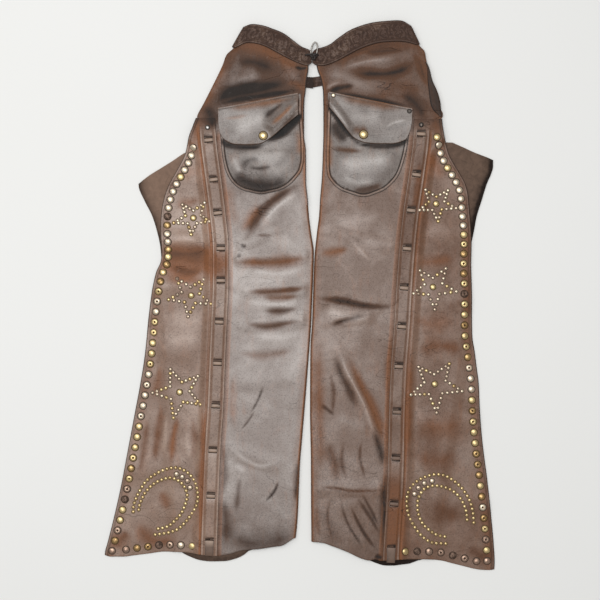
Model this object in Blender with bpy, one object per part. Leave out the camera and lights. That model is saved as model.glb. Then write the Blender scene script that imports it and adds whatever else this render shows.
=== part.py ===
# Batwing chaps of dark brown leather, laid flat on a floor with the belt at the top.
# Plan tables are in pattern units, x to the right and y down from the top of the pattern.
# Heights and thicknesses are in millimetres above the floor.
import math

import bmesh
import bpy

# Driving dimensions
UNIT = 0.00175
CENTRE_X = 299.65
CENTRE_Y = 295.25
MM = 0.001
LEATHER = 2.2
GAP = 0.3
BACK_MID = 1.1
FRONT_MID = 5.7
WING_OVER_BACK = 2.5
WING_OVER_FRONT = 7.1
LACE_WIDTH = 14.7
LACE_THICK = 1.5
LACE_LOW_MID = 3.55
LACE_HIGH_MID = 10.35
SLOT_LENGTH = 2.6
SLOT_REACH = 3.25
BELT_MID = 8.7
BELT_THICK = 3.2
STRAP_THICK = 2.0
SPOT_RADIUS = 6.35
SPOT_HEIGHT = 2.6
EDGE_SPOTS = 44
HEM_SPOTS = 7
POUCH_THICK = 2.0
CROTCH_Y = 205.0

# Left half: lace line, leg edges, back panel edges, wing edges
LEFT = {
    "inward": 1,
    # y, x of the lace line
    "lace": [
        (112, 206.8), (140, 208.6), (180, 213.7), (213, 217.8), (248, 220.9), (281, 220.9),
        (322, 219.3), (363, 217.5), (406, 215.8), (450, 212.9), (496, 210.9), (544, 209.4), (566, 209.0),
    ],
    # y of each lace bridge, the last one is the free tail
    "bridges": [140.1, 179.6, 213.0, 248.5, 280.6, 322.0, 363.3, 405.8, 450.5, 496.0, 542.0],
    # y, outer edge, inner edge of the leg front
    "leg": [
        (28, 242.6, 307.0), (44, 237.4, 307.5), (48, 235.6, 307.8), (54, 228.4, 308.0), (58, 225.6, 308.0),
        (68, 221.2, 308.5), (80, 215.4, 306.5), (92, 209.4, 305.5),
        (100, 205.4, 304.4), (112, 199.8, 304.0), (118, 199.0, 304.0), (128, 199.6, 304.0),
        (136, 200.8, 304.0), (150, 203.2, 305.8), (165, 204.6, 306.0), (180, 205.7, 306.0),
        (200, 208.4, 307.8), (216, 210.1, 309.0), (232, 211.5, 311.0), (253, 212.9, 313.8),
        (280, 212.9, 313.0), (299, 212.3, 312.2), (325, 211.2, 311.0), (345, 210.3, 309.6),
        (392, 208.4, 306.0), (416, 207.1, 304.0), (440, 205.6, 302.0), (464, 204.3, 300.0),
        (488, 203.3, 299.0), (512, 202.4, 298.0), (536, 201.6, 296.0), (557, 201.2, 291.0),
    ],
    # x, y of the leg front's top edge under the belt, and of its hem
    "leg_top": [(236, 36), (246, 33), (260, 34.8), (272, 39.5), (283, 45.5), (293, 51), (301, 57), (308, 61)],
    "leg_hem": [
        (201, 554.5), (213.7, 556.4), (231, 554), (245, 550.3), (260, 549.3), (276, 547),
        (284, 546), (292, 541), (297, 537),
    ],
    # y, x of the back panel's outer edge
    "back": [
        (150, 138.2), (182, 138.2), (186, 138.4), (200, 144), (216, 152), (232, 157), (246, 160),
        (262, 161.5), (290, 164), (330, 167), (400, 171), (480, 176), (553, 180), (566, 181),
    ],
    "back_top": [(138, 184), (148, 176), (161, 168), (174, 160), (187, 152), (200, 150), (225, 162), (265, 188), (306, 205)],
    "back_hem": [
        (180, 551), (182, 553), (190, 557), (200, 560.5), (211.6, 561.8), (226, 561.5), (236, 559.5),
        (245, 556), (250.4, 551.3), (262, 548.5), (276, 546), (284, 545), (292, 540.5), (297, 537),
    ],
    # y, x of the wing's outer edge, and x, y of its hem
    "wing": [
        (112, 198.2), (120, 195), (128, 192), (136, 189), (144, 187.2), (149, 186.2), (155, 184.5), (161, 181.8),
        (172, 175.7), (186, 168), (199.5, 163.5), (212, 161.2), (225.5, 160.4), (245, 161.2), (253, 161.6),
        (261, 160.7), (272, 156), (280, 154), (296, 151), (320, 148), (352, 145), (384, 140), (416, 134),
        (448, 128), (480, 122), (512, 115), (544, 107), (552, 104.8), (560, 104.2),
    ],
    "wing_top": 118.0,
    "wing_hem": [
        (105, 555.5), (110, 557), (124, 557), (132, 556), (148, 554), (164, 552), (180, 552.3), (190, 553),
        (203, 555), (218, 556),
    ],
    "spot_inset": 6.7,
    "spot_first": 146.4,
    "spot_last": 549.5,
    "spot_trough": 262.0,
    "hem_spots": (125.8, 191.8, 7.0),
    "stars": [(193.3, 217.9), (191.2, 295.9), (179.5, 392.3)],
    # x0, y0, x1, y1, half width, height of each soft ridge on the leg front
    "folds": [
        (240, 259, 306, 257, 12, 2.8), (248, 291, 306, 290, 11, 2.4), (245, 325, 302, 321, 11, 2.2),
        (244, 246, 298, 212, 12, 2.6), (232, 450, 275, 465, 12, 1.8), (238, 384, 290, 378, 12, 1.4),
    ],
    # y, half width, height of each ridge across the wing
    "waves": [(238, 13, 2.6), (286, 14, 3.0), (352, 18, 1.4), (470, 20, 1.6)],
}

RIGHT = {
    "inward": -1,
    "lace": [
        (112, 421.8), (134, 421.2), (175, 416.3), (210, 411.1), (249, 406.9), (288, 404), (327, 401.7),
        (366, 398.7), (412, 396.8), (458, 395.9), (504, 394), (552, 391), (572, 390.4),
    ],
    "bridges": [134.0, 174.7, 210.5, 248.6, 288.0, 326.7, 366.5, 412.0, 458.2, 503.8, 549.0],
    "leg": [
        (26, 410.4, 315.5), (40, 415.0, 316.0), (45.5, 417.0, 316.0), (51, 422.4, 316.0), (60, 426.0, 316.0),
        (68, 429.0, 317.0),
        (80, 432.4, 321.0), (92, 437.6, 323.0), (100, 439.8, 323.2), (112, 440.6, 323.4), (118, 438.6, 323.4),
        (124, 436.0, 323.4), (132, 432.6, 323.4), (142, 429.6, 323.2), (155, 427.0, 322.8), (175, 424.3, 322.0),
        (200, 420.6, 320.0), (216, 418.3, 319.0), (232, 416.6, 317.0), (253, 414.5, 314.8), (270, 413.2, 313.9),
        (299, 411.4, 313.0), (325, 409.8, 312.0), (345, 408.2, 310.6), (366, 406.7, 310.2), (412, 404.8, 310.0),
        (458, 403.9, 310.8), (504, 402.0, 311.0), (540, 399.8, 311.3), (566, 398.6, 311.5),
    ],
    "leg_top": [
        (312, 61), (316, 61), (320, 58.5), (332.5, 53), (344.7, 45), (360, 37.7), (378, 32.5), (398, 31.5), (417, 34),
    ],
    "leg_hem": [
        (311, 542), (321, 543), (330, 546), (346, 552), (362, 559), (369, 560.5), (375, 559.4), (381, 561), (400, 560),
    ],
    "back": [
        (140, 493.4), (166, 493.4), (172, 492), (184, 487), (200, 482), (216, 477), (232, 474), (244, 471.5),
        (262, 468.5), (290, 465), (330, 460), (400, 451), (480, 438), (553, 426), (570, 425),
    ],
    "back_top": [(319, 205), (363, 186), (405, 158), (430, 143.5), (445, 142), (453, 145), (468, 152), (488, 160.5), (494, 166.5)],
    "back_hem": [
        (311, 541.5), (321, 542.2), (330, 545), (346, 551), (362, 558), (369, 560.5), (378, 564), (386, 566),
        (394, 566), (402, 565), (410, 564), (418, 561), (424, 559.5), (427, 557),
    ],
    "wing": [
        (112, 441.9), (120, 442.2), (128, 443), (136, 444.4), (141.7, 445.7), (153, 448.6), (164, 454.2),
        (175.4, 461.2), (185, 466), (196.5, 468.5), (209, 469.6), (227, 471), (243, 471.7), (264, 471.3),
        (288, 472), (320, 472.2), (336, 472.6), (352, 475), (368, 477), (384, 479), (416, 480.4), (448, 483.4),
        (480, 487.6), (512, 491), (544, 494), (562, 495), (574, 494.4),
    ],
    "wing_top": 119.0,
    "wing_hem": [
        (383, 560.4), (398, 559.6), (424, 559.5), (434, 560), (442, 561), (450, 563), (458, 565), (466, 567),
        (474, 569), (482, 570.2), (490, 570.5), (494.5, 569.8),
    ],
    "spot_inset": 7.6,
    "spot_first": 135.8,
    "spot_last": 561.5,
    "spot_trough": None,
    "hem_spots": (476.7, 405.4, 8.0),
    "stars": [(436.1, 203.8), (433.1, 287.0), (434.8, 384.1)],
    "folds": [
        (316, 300, 375, 305, 12, 2.6), (325, 322, 368, 317, 10, 2.0), (338, 350, 382, 455, 12, 2.4),
        (318, 489, 383, 490, 11, 2.2), (355, 505, 387, 540, 12, 2.0), (330, 232, 392, 246, 12, 1.8),
    ],
    "waves": [(228, 16, 1.8), (300, 18, 1.6), (420, 20, 2.0), (506, 20, 1.6)],
}

# Pouch rows: y, left edge, right edge
POUCH_LEFT = [
    (103, 219.6, 300.6), (122, 219.8, 302.4), (147.5, 221.3, 304.0), (158, 222.6, 304.1), (170, 225.4, 301.8),
    (179, 229.6, 295.6), (186, 235.6, 288.2), (190.6, 243.6, 279.4), (193.2, 254.0, 268.0),
]
POUCH_RIGHT = [
    (103, 328.0, 410.6), (122, 327.4, 410.2), (147.5, 326.6, 407.0), (157, 326.4, 405.0), (166, 326.4, 402.4),
    (175, 327.4, 398.8), (184, 333.0, 391.8), (190.6, 341.4, 383.6), (195.2, 355.0, 372.0),
]
# Flap columns: x, top edge, lower edge
FLAP_LEFT = [
    (217.8, 108.0, 119.0), (220.6, 107.5, 134.6), (226.0, 106.5, 141.2), (235.0, 104.8, 144.7), (247.0, 102.5, 145.2),
    (259.0, 100.2, 144.4), (271.0, 97.9, 138.0), (285.0, 95.3, 126.2), (298.6, 92.7, 114.8),
]
FLAP_RIGHT = [
    (328.8, 91.6, 107.3), (340.0, 93.9, 121.0), (347.8, 95.5, 131.6), (355.4, 97.0, 139.3), (366.0, 99.2, 143.2),
    (378.0, 101.6, 144.2), (390.6, 104.2, 144.2), (404.4, 107.0, 140.8), (409.8, 108.1, 131.6), (412.6, 108.7, 117.0),
]
# Belt stations from the front tie to the hip: x and y of the top edge, x and y of the lower edge
BELT_LEFT = [
    (311.7, 52.4, 311.7, 62.8), (308.5, 49.6, 306.5, 65.6), (301.4, 46.6, 296.5, 62.5), (293.8, 41.0, 286.0, 57.6),
    (283.6, 33.4, 275.5, 52.0), (271.8, 28.5, 265.5, 46.8), (262.7, 25.5, 256.5, 43.8), (252.0, 24.2, 246.0, 43.2),
    (244.8, 26.4, 234.9, 48.2),
]
BELT_RIGHT = [
    (312.5, 52.3, 312.5, 63.0), (315.5, 49.4, 316.5, 65.2), (323.0, 47.2, 325.0, 65.6), (330.4, 44.0, 337.0, 61.2),
    (340.0, 36.7, 349.0, 54.8), (352.4, 29.0, 361.0, 48.8), (370.7, 23.0, 376.0, 43.6), (390.6, 20.7, 392.0, 41.8),
    (402.0, 20.9, 405.0, 42.2), (409.6, 25.0, 416.8, 45.2),
]
# Strap stations under the hips: x and y of one edge, x and y of the other, mid height
STRAP_LEFT = [
    (258.6, 47.4, 245.4, 56.6, 1.0), (277.9, 65.3, 272.1, 74.7, 1.0), (288.4, 72.2, 285.4, 82.0, 3.3),
    (301.3, 76.3, 299.0, 86.7, 3.3), (313.0, 77.6, 313.0, 88.2, 3.3),
]
STRAP_RIGHT = [
    (393.6, 47.2, 406.4, 56.8, 1.0), (372.2, 63.3, 377.8, 72.7, 1.0), (343.9, 73.6, 346.1, 84.0, 1.0),
    (321.6, 75.6, 322.4, 85.4, 1.0), (313.3, 76.8, 313.7, 87.0, 1.0), (295.6, 76.2, 294.4, 86.2, 1.0),
]
# Hip facing rows: y, inner edge, outer edge
HIP_FACING = [
    (62.4, 425.4, 426.8), (68.7, 427.2, 429.4), (80, 427.6, 432.2), (91.7, 428.8, 437.2), (103, 430.3, 440.4),
    (109.5, 432.8, 441.0), (113.6, 436.6, 441.6), (117, 440.2, 441.8),
]


# Colours of the leathers and metals
def make_material(name, colour, roughness, metallic=0.0):
    material = bpy.data.materials.new(name)
    material.use_nodes = True
    shader = material.node_tree.nodes["Principled BSDF"]
    shader.inputs["Base Color"].default_value = (*colour, 1.0)
    shader.inputs["Roughness"].default_value = roughness
    shader.inputs["Metallic"].default_value = metallic
    material.diffuse_color = (*colour, 1.0)
    return material


def leg_leather(name):
    return make_material(name, (0.12, 0.07, 0.05), 0.42)


def wing_leather(name):
    return make_material(name, (0.15, 0.075, 0.05), 0.42)


def pocket_leather(name):
    return make_material(name, (0.10, 0.06, 0.045), 0.45)


def belt_leather(name):
    return make_material(name, (0.045, 0.028, 0.02), 0.5)


def lace_leather(name):
    return make_material(name, (0.35, 0.24, 0.16), 0.6)


def brass(name):
    return make_material(name, (0.6, 0.45, 0.2), 0.3, 1.0)


def steel(name):
    return make_material(name, (0.6, 0.6, 0.58), 0.28, 1.0)


# Plan point and height to scene point
def place(x, y, z):
    return ((x - CENTRE_X) * UNIT, (CENTRE_Y - y) * UNIT, z * MM)


# Smooth value of one column of a table whose first column rises
def along(table, at, column=1):
    count = len(table)
    if at <= table[0][0]:
        return table[0][column]
    if at >= table[-1][0]:
        return table[-1][column]
    k = 0
    while k < count - 2 and table[k + 1][0] <= at:
        k += 1

    def secant(i):
        return (table[i + 1][column] - table[i][column]) / (table[i + 1][0] - table[i][0])

    def slope(i):
        if i == 0:
            return secant(0)
        if i == count - 1:
            return secant(count - 2)
        before = secant(i - 1)
        after = secant(i)
        if before * after <= 0:
            return 0.0
        return 2 * before * after / (before + after)

    step = table[k + 1][0] - table[k][0]
    t = (at - table[k][0]) / step
    a = table[k][column]
    b = table[k + 1][column]
    rise = (3 - 2 * t) * t * t
    start = t * (1 - t) * (1 - t) * step * slope(k)
    end = -t * t * (1 - t) * step * slope(k + 1)
    return a + (b - a) * rise + start + end


def blend(a, b, t):
    return a + (b - a) * t


def soft(t):
    t = min(1.0, max(0.0, t))
    return t * t * (3 - 2 * t)


# Height of a soft ridge that runs from one plan point to another
def ridge(x, y, row):
    x0, y0, x1, y1, half, height = row
    dx = x1 - x0
    dy = y1 - y0
    t = ((x - x0) * dx + (y - y0) * dy) / (dx * dx + dy * dy)
    t = min(1.0, max(0.0, t))
    distance = math.hypot(x - x0 - t * dx, y - y0 - t * dy)
    return height * soft(1 - distance / half)


def make_object(name, mesh, material):
    item = bpy.data.objects.new(name, mesh)
    bpy.context.scene.collection.objects.link(item)
    mesh.materials.append(material)
    return item


def finish_mesh(name, verts, faces):
    mesh = bpy.data.meshes.new(name)
    mesh.from_pydata(verts, [], faces)
    body = bmesh.new()
    body.from_mesh(mesh)
    loose = [vert for vert in body.verts if not vert.link_faces]
    bmesh.ops.delete(body, geom=loose, context="VERTS")
    bmesh.ops.recalc_face_normals(body, faces=body.faces)
    body.to_mesh(mesh)
    body.free()
    return mesh


# Closed wall between two grids of points, with the cells that keep() names
def wall_mesh(name, upper, lower, keep=None):
    rows = len(upper)
    cols = len(upper[0])
    verts = [p for row in upper for p in row] + [p for row in lower for p in row]
    shift = rows * cols

    def kept(i, j):
        inside = 0 <= i < rows - 1 and 0 <= j < cols - 1
        return inside and (keep is None or keep(i, j))

    faces = []
    for i in range(rows - 1):
        for j in range(cols - 1):
            if not kept(i, j):
                continue
            a = i * cols + j
            b = a + 1
            c = a + cols + 1
            d = a + cols
            faces.append((a, b, c, d))
            faces.append((d + shift, c + shift, b + shift, a + shift))
            if not kept(i - 1, j):
                faces.append((b, a, a + shift, b + shift))
            if not kept(i + 1, j):
                faces.append((d, c, c + shift, d + shift))
            if not kept(i, j - 1):
                faces.append((a, d, d + shift, a + shift))
            if not kept(i, j + 1):
                faces.append((c, b, b + shift, c + shift))
    return finish_mesh(name, verts, faces)


# One leg: front panel, rounded inner fold and back panel cut from one hide
def leg_front_height(side, x, y, s):
    if s <= 0.26 or s >= 0.99:
        return 0.0
    window = soft((y - 216) / 16) * soft((1 - s) / 0.12)
    return window * max(0.0, max(ridge(x, y, row) for row in side["folds"]))


def leg_row(side, v, crotch):
    inward = side["inward"]
    radius = (FRONT_MID - BACK_MID) / 2
    centre_z = (FRONT_MID + BACK_MID) / 2
    reach = (radius + LEATHER / 2) * MM / UNIT
    folded = v <= crotch + 1e-6
    row = []
    for k in range(9):
        s = k / 8
        top_x = blend(along(side["leg"], 45, 1), along(side["leg"], 60, 2), s)
        hem_x = blend(along(side["leg"], 552, 1), along(side["leg"], 540, 2), s)
        y = blend(along(side["leg_hem"], hem_x), along(side["leg_top"], top_x), v)
        outer = along(side["leg"], y, 1)
        inner = along(side["leg"], y, 2)
        if folded:
            inner -= inward * reach
        x = blend(outer, inner, s)
        z = FRONT_MID + leg_front_height(side, x, y, s)
        row.append((x, y, z, 0.0, 1.0))
    fold_y = row[-1][1]
    fold_x = row[-1][0]
    for k in range(1, 4):
        angle = math.pi / 2 - math.pi * k / 4
        x = fold_x + inward * math.cos(angle) * radius * MM / UNIT
        row.append((x, fold_y, centre_z + radius * math.sin(angle), inward * math.cos(angle), math.sin(angle)))
    u = min(1.0, v / crotch)
    for s in (0.0, 0.2, 0.4, 0.57, 0.71, 0.86, 1.0):
        top_x = blend(along(side["leg"], CROTCH_Y, 2) - inward * reach, along(side["back"], 184), s)
        hem_x = blend(along(side["leg"], 540, 2) - inward * reach, along(side["back"], 553), s)
        y = blend(along(side["back_hem"], hem_x), along(side["back_top"], top_x), u)
        if s == 0.0:
            y = fold_y
        inner = along(side["leg"], y, 2) - inward * reach
        x = blend(inner, along(side["back"], y), s)
        row.append((x, y, BACK_MID, 0.0, -1.0))
    return row


def leg_body(name, side):
    hem = along(side["leg_hem"], along(side["leg"], 540, 2))
    top = along(side["leg_top"], along(side["leg"], 60, 2))
    crotch = (hem - CROTCH_Y) / (hem - top)
    lower = 21
    hip = (0.13, 0.27, 0.41, 0.54, 0.66, 0.76, 0.84, 0.89, 0.92, 0.95, 1.0)
    steps = [crotch * i / lower for i in range(lower + 1)]
    steps += [blend(crotch, 1.0, t) for t in hip]
    rows = [leg_row(side, v, crotch) for v in steps]
    half = LEATHER / 2
    outside = []
    inside = []
    for row in rows:
        outside.append([place(x + nx * half * MM / UNIT, y, z + nz * half) for x, y, z, nx, nz in row])
        inside.append([place(x - nx * half * MM / UNIT, y, z - nz * half) for x, y, z, nx, nz in row])
    mesh = wall_mesh(name, outside, inside, lambda i, j: i < lower or j < 8)
    return make_object(name, mesh, leg_leather(name))


# Wing: lies over the leg front at the lace, over the back panel, then on the floor
def wing_places(side, y):
    lace = along(side["lace"], y)
    leg_edge = abs(along(side["leg"], y, 1) - lace)
    back_edge = abs(along(side["back"], y) - lace)
    width = abs(along(side["wing"], y) - lace)
    outer = width
    floor = min(back_edge + 13, outer - 3.2)
    back = min(back_edge + 2.5, floor - 1.6)
    half = blend(floor, outer, 0.5)
    step = min(leg_edge + 10.4, back - 2.4)
    rise = min(leg_edge + 2.6, step - 1.2)
    return lace, leg_edge, back_edge, [-8.0, 0.0, rise, step, blend(step, back, 0.5), back, floor, half, outer]


def wing_level(side, y, distance, leg_edge, back_edge):
    over_leg = leg_edge + 2.6 + 12 * soft((side["wing_top"] + 36 - y) / 22)
    low = WING_OVER_BACK * (1 - min(1.0, max(0.0, (distance - back_edge - 2.5) / 10.5)))
    if distance <= over_leg:
        return WING_OVER_FRONT
    t = min(1.0, (distance - over_leg) / 7.8)
    level = blend(WING_OVER_FRONT, low, t)
    lift = max(height * soft(1 - abs(y - at) / half) for at, half, height in side["waves"])
    return level + lift * soft((distance - over_leg - 6) / 14)


def wing_body(name, side):
    outward = -side["inward"]
    count = 30
    rows = []
    for i in range(count + 1):
        row = []
        for j in range(9):
            lace, leg_edge, back_edge, places = wing_places(side, 554)
            hem_y = along(side["wing_hem"], lace + outward * places[j])
            y = blend(hem_y, side["wing_top"], i / count)
            lace, leg_edge, back_edge, places = wing_places(side, y)
            z = wing_level(side, y, places[j], leg_edge, back_edge)
            row.append((lace + outward * places[j], y, z))
        rows.append(row)
    upper = [[place(x, y, z + LEATHER) for x, y, z in row] for row in rows]
    lower = [[place(x, y, z) for x, y, z in row] for row in rows]
    return make_object(name, wall_mesh(name, upper, lower), wing_leather(name))


# Height of the wing's outer face at one plan point
def wing_top_at(side, x, y):
    lace = along(side["lace"], y)
    leg_edge = abs(along(side["leg"], y, 1) - lace)
    back_edge = abs(along(side["back"], y) - lace)
    return wing_level(side, y, abs(x - lace), leg_edge, back_edge) + LEATHER


# Places of the large domed spots along the wing's outer edge and hem
def edge_spots(side):
    inward = side["inward"]
    inset = side["spot_inset"]
    line = []
    y = side["spot_first"]
    while y <= side["spot_last"]:
        slope = (along(side["wing"], y + 2) - along(side["wing"], y - 2)) / 4
        length = math.hypot(1, slope)
        line.append((along(side["wing"], y) + inward * inset / length, y - inward * inset * slope / length))
        y += 0.5
    travel = [0.0]
    for a, b in zip(line, line[1:]):
        travel.append(travel[-1] + math.dist(a, b))
    pitches = []
    for k in range(EDGE_SPOTS - 1):
        pitch = blend(8.5, 11.3, soft(k / 24))
        if side["spot_trough"] is not None:
            at = blend(side["spot_first"], side["spot_last"], (k + 1) / EDGE_SPOTS * 0.9)
            pitch *= 1 - 0.22 * soft(1 - abs(at - side["spot_trough"]) / 34)
        pitches.append(pitch)
    scale = travel[-1] / sum(pitches)
    spots = []
    reached = 0.0
    for pitch in [0.0] + pitches:
        reached = min(reached + pitch * scale, travel[-1])
        k = 0
        while k < len(travel) - 2 and travel[k + 1] < reached:
            k += 1
        t = (reached - travel[k]) / (travel[k + 1] - travel[k])
        spots.append((blend(line[k][0], line[k + 1][0], t), blend(line[k][1], line[k + 1][1], t)))
    first, last, inset = side["hem_spots"]
    for k in range(HEM_SPOTS):
        x = blend(first, last, k / (HEM_SPOTS - 1))
        spots.append((x, along(side["wing_hem"], x) - inset))
    return spots


# Low eight-sided domes in one helper mesh, raised on the wing by a union
def spots_helper(name, spots):
    verts = []
    faces = []
    for x, y, z, radius, height in spots:
        start = len(verts)
        for share, level in ((1.0, -0.9), (0.6, height)):
            for k in range(8):
                angle = math.tau * (k + 0.5) / 8
                px, py, pz = place(x, y, z + level)
                verts.append((px + radius * share * MM * math.cos(angle), py + radius * share * MM * math.sin(angle), pz))
        for k in range(8):
            a = start + k
            b = start + (k + 1) % 8
            faces.append((a, b, b + 8, a + 8))
        faces.append([start + 7 - k for k in range(8)])
        faces.append([start + 8 + k for k in range(8)])
    return helper_object(name, finish_mesh(name, verts, faces))


def helper_object(name, mesh):
    item = bpy.data.objects.new(name, mesh)
    bpy.context.scene.collection.objects.link(item)
    item.hide_render = True
    item.display_type = "WIRE"
    return item


# Boxes in one helper mesh: plan place, turn, plan sizes and heights in millimetres
def boxes_helper(name, boxes):
    verts = []
    faces = []
    for x, y, turn, wide, long, low, high in boxes:
        start = len(verts)
        for level in (low, high):
            for sx, sy in ((-1, -1), (1, -1), (1, 1), (-1, 1)):
                px, py, pz = place(x, y, level)
                dx = sx * wide / 2 * MM
                dy = sy * long / 2 * MM
                verts.append((
                    px + dx * math.cos(turn) - dy * math.sin(turn),
                    py + dx * math.sin(turn) + dy * math.cos(turn),
                    pz,
                ))
        faces.append([start + k for k in (3, 2, 1, 0)])
        faces.append([start + k for k in (4, 5, 6, 7)])
        for k in range(4):
            m = (k + 1) % 4
            faces.append([start + k, start + m, start + m + 4, start + k + 4])
    return helper_object(name, finish_mesh(name, verts, faces))


def carve(item, helper, operation):
    modifier = item.modifiers.new(operation.lower(), "BOOLEAN")
    modifier.operation = operation
    modifier.solver = "EXACT"
    modifier.object = helper


# Lace line frame: place, direction down the leg and turn of the strip at y
def lace_frame(side, y):
    slope = (along(side["lace"], y + 3) - along(side["lace"], y - 3)) / 6
    length = math.hypot(1, slope)
    return along(side["lace"], y), slope / length, 1 / length


def lace_slots(name, side):
    boxes = []
    for k, y in enumerate(side["bridges"]):
        x, dx, dy = lace_frame(side, y)
        turn = math.atan2(dx, dy)
        ends = (-1, 1) if k < len(side["bridges"]) - 1 else (-1,)
        for end in ends:
            shift = end * SLOT_REACH * MM / UNIT
            boxes.append((x + dx * shift, y + dy * shift, turn, LACE_WIDTH + 0.7, SLOT_LENGTH, 4.4, 9.5))
    return boxes_helper(name, boxes)


def lace_body(name, side):
    up = [(-3.9, LACE_LOW_MID), (-3.25, LACE_LOW_MID + 0.65), (-3.25, LACE_HIGH_MID - 0.65), (-2.6, LACE_HIGH_MID)]
    path = []
    first = side["bridges"][0] - 7.4
    x, dx, dy = lace_frame(side, first)
    path.append((x, first, dx, dy, LACE_LOW_MID))
    last = len(side["bridges"]) - 1
    for k, y in enumerate(side["bridges"]):
        x, dx, dy = lace_frame(side, y)
        steps = up + [(-t, z) for t, z in reversed(up)]
        if k == last:
            steps = up
        for t, z in steps:
            shift = t * MM / UNIT
            path.append((x + dx * shift, y + dy * shift, dx, dy, z))
        if k < last:
            middle = (y + side["bridges"][k + 1]) / 2
            x, dx, dy = lace_frame(side, middle)
            path.append((x, middle, dx, dy, LACE_LOW_MID))
    end = side["bridges"][-1] + 13.5
    x, dx, dy = lace_frame(side, end)
    path.append((x, end, dx, dy, LACE_HIGH_MID))
    centres = [place(x, y, z) for x, y, dx, dy, z in path]
    upper = []
    lower = []
    for k, (x, y, dx, dy, z) in enumerate(path):
        before = centres[max(0, k - 1)]
        here = centres[k]
        after = centres[min(len(path) - 1, k + 1)]
        run = (dx, -dy)
        a = direction_in_plane(before, here, run)
        b = direction_in_plane(here, after, run)
        a = a or b
        b = b or a
        normal = (-(a[1] + b[1]), a[0] + b[0])
        size = math.hypot(*normal)
        normal = (normal[0] / size, normal[1] / size)
        cosine = normal[0] * -a[1] + normal[1] * a[0]
        offset = LACE_THICK / 2 * MM / max(0.5, cosine)
        across = (dy * LACE_WIDTH / 2 * MM, dx * LACE_WIDTH / 2 * MM)
        for rows, sign in ((upper, 1), (lower, -1)):
            lx = here[0] + run[0] * normal[0] * offset * sign
            ly = here[1] + run[1] * normal[0] * offset * sign
            lz = here[2] + normal[1] * offset * sign
            rows.append([(lx - across[0], ly - across[1], lz), (lx + across[0], ly + across[1], lz)])
    return make_object(name, wall_mesh(name, upper, lower), lace_leather(name))


def direction_in_plane(a, b, run):
    along_run = (b[0] - a[0]) * run[0] + (b[1] - a[1]) * run[1]
    rise = b[2] - a[2]
    size = math.hypot(along_run, rise)
    if size < 1e-9:
        return None
    return along_run / size, rise / size


# Belt half: tooled band on the hip, turned round the hip's edge, then the strap underneath
def belt_body(name, stations, strap):
    rows = [(ax, ay, bx, by, BELT_MID, 0.0, 0.0, 1.0, BELT_THICK) for ax, ay, bx, by in stations]
    ax, ay, bx, by = stations[-1]
    outward = 1 if ax > 312 else -1
    length = math.hypot(bx - ax, by - ay)
    nx = outward * abs(by - ay) / length
    ny = -abs(bx - ax) / length
    low = strap[0][4]
    radius = (BELT_MID - low) / 2
    middle = (BELT_MID + low) / 2
    for k in range(1, 7):
        angle = math.pi / 2 - math.pi * k / 6
        reach = radius * math.cos(angle) * MM / UNIT
        thick = blend(BELT_THICK, STRAP_THICK, k / 6)
        rows.append((
            ax + nx * reach, ay + ny * reach, bx + nx * reach, by + ny * reach,
            middle + radius * math.sin(angle), nx * math.cos(angle), ny * math.cos(angle), math.sin(angle), thick,
        ))
    for sx, sy, tx, ty, z in strap:
        rows.append((sx, sy, tx, ty, z, 0.0, 0.0, -1.0, STRAP_THICK))
    upper = []
    lower = []
    for ax, ay, bx, by, z, nx, ny, nz, thick in rows:
        h = thick / 2
        s = h * MM / UNIT
        for grid, sign in ((upper, 1), (lower, -1)):
            grid.append([
                place(ax + sign * nx * s, ay + sign * ny * s, z + sign * nz * h),
                place(bx + sign * nx * s, by + sign * ny * s, z + sign * nz * h),
            ])
    return make_object(name, wall_mesh(name, upper, lower), belt_leather(name))


# Pocket pouch with a soft puff below the flap
def pouch_body(name, table, flap):
    rows = []
    for i, (y, left, right) in enumerate(table):
        row = []
        for k in range(9):
            s = k / 8
            x = blend(left, right, s)
            py = y
            if i == 0:
                py = along(flap, min(max(x, flap[0][0]), flap[-1][0])) + 1.2
            puff = soft((py - 148) / 16) * soft((table[-1][0] - py) / 18) * soft(s / 0.3) * soft((1 - s) / 0.3)
            row.append((x, py, WING_OVER_FRONT + 2.6 * puff))
        rows.append(row)
    upper = [[place(x, y, z + POUCH_THICK) for x, y, z in row] for row in rows]
    lower = [[place(x, y, z) for x, y, z in row] for row in rows]
    return make_object(name, wall_mesh(name, upper, lower), pocket_leather(name))


def flap_body(name, table):
    base = WING_OVER_FRONT + POUCH_THICK + GAP
    columns = []
    for x, top, lower in table:
        columns.append([(x, blend(top, lower, t), base) for t in (0.0, 0.5, 1.0)])
    outer = [[place(x, y, z + POUCH_THICK) for x, y, z in column] for column in columns]
    inner = [[place(x, y, z) for x, y, z in column] for column in columns]
    return make_object(name, wall_mesh(name, outer, inner), pocket_leather(name))


def facing_body(name, table):
    base = WING_OVER_FRONT
    upper = [[place(x, y, base + 2.0) for x in (left, right)] for y, left, right in table]
    lower = [[place(x, y, base) for x in (left, right)] for y, left, right in table]
    return make_object(name, wall_mesh(name, upper, lower), leg_leather(name))


# Domed rivet or snap cap
def dome_body(name, x, y, base, radius, height, material):
    verts = []
    faces = []
    rings = ((1.0, 0.0), (1.0, 0.35), (0.8, 0.75), (0.42, 1.0))
    sides = 12
    for share, level in rings:
        for k in range(sides):
            angle = math.tau * k / sides
            px, py, pz = place(x, y, base + level * height)
            verts.append((px + radius * share * MM * math.cos(angle), py + radius * share * MM * math.sin(angle), pz))
    for ring in range(len(rings) - 1):
        for k in range(sides):
            a = ring * sides + k
            b = ring * sides + (k + 1) % sides
            faces.append((a, b, b + sides, a + sides))
    faces.append([sides - 1 - k for k in range(sides)])
    faces.append([(len(rings) - 1) * sides + k for k in range(sides)])
    return make_object(name, finish_mesh(name, verts, faces), material)


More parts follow.
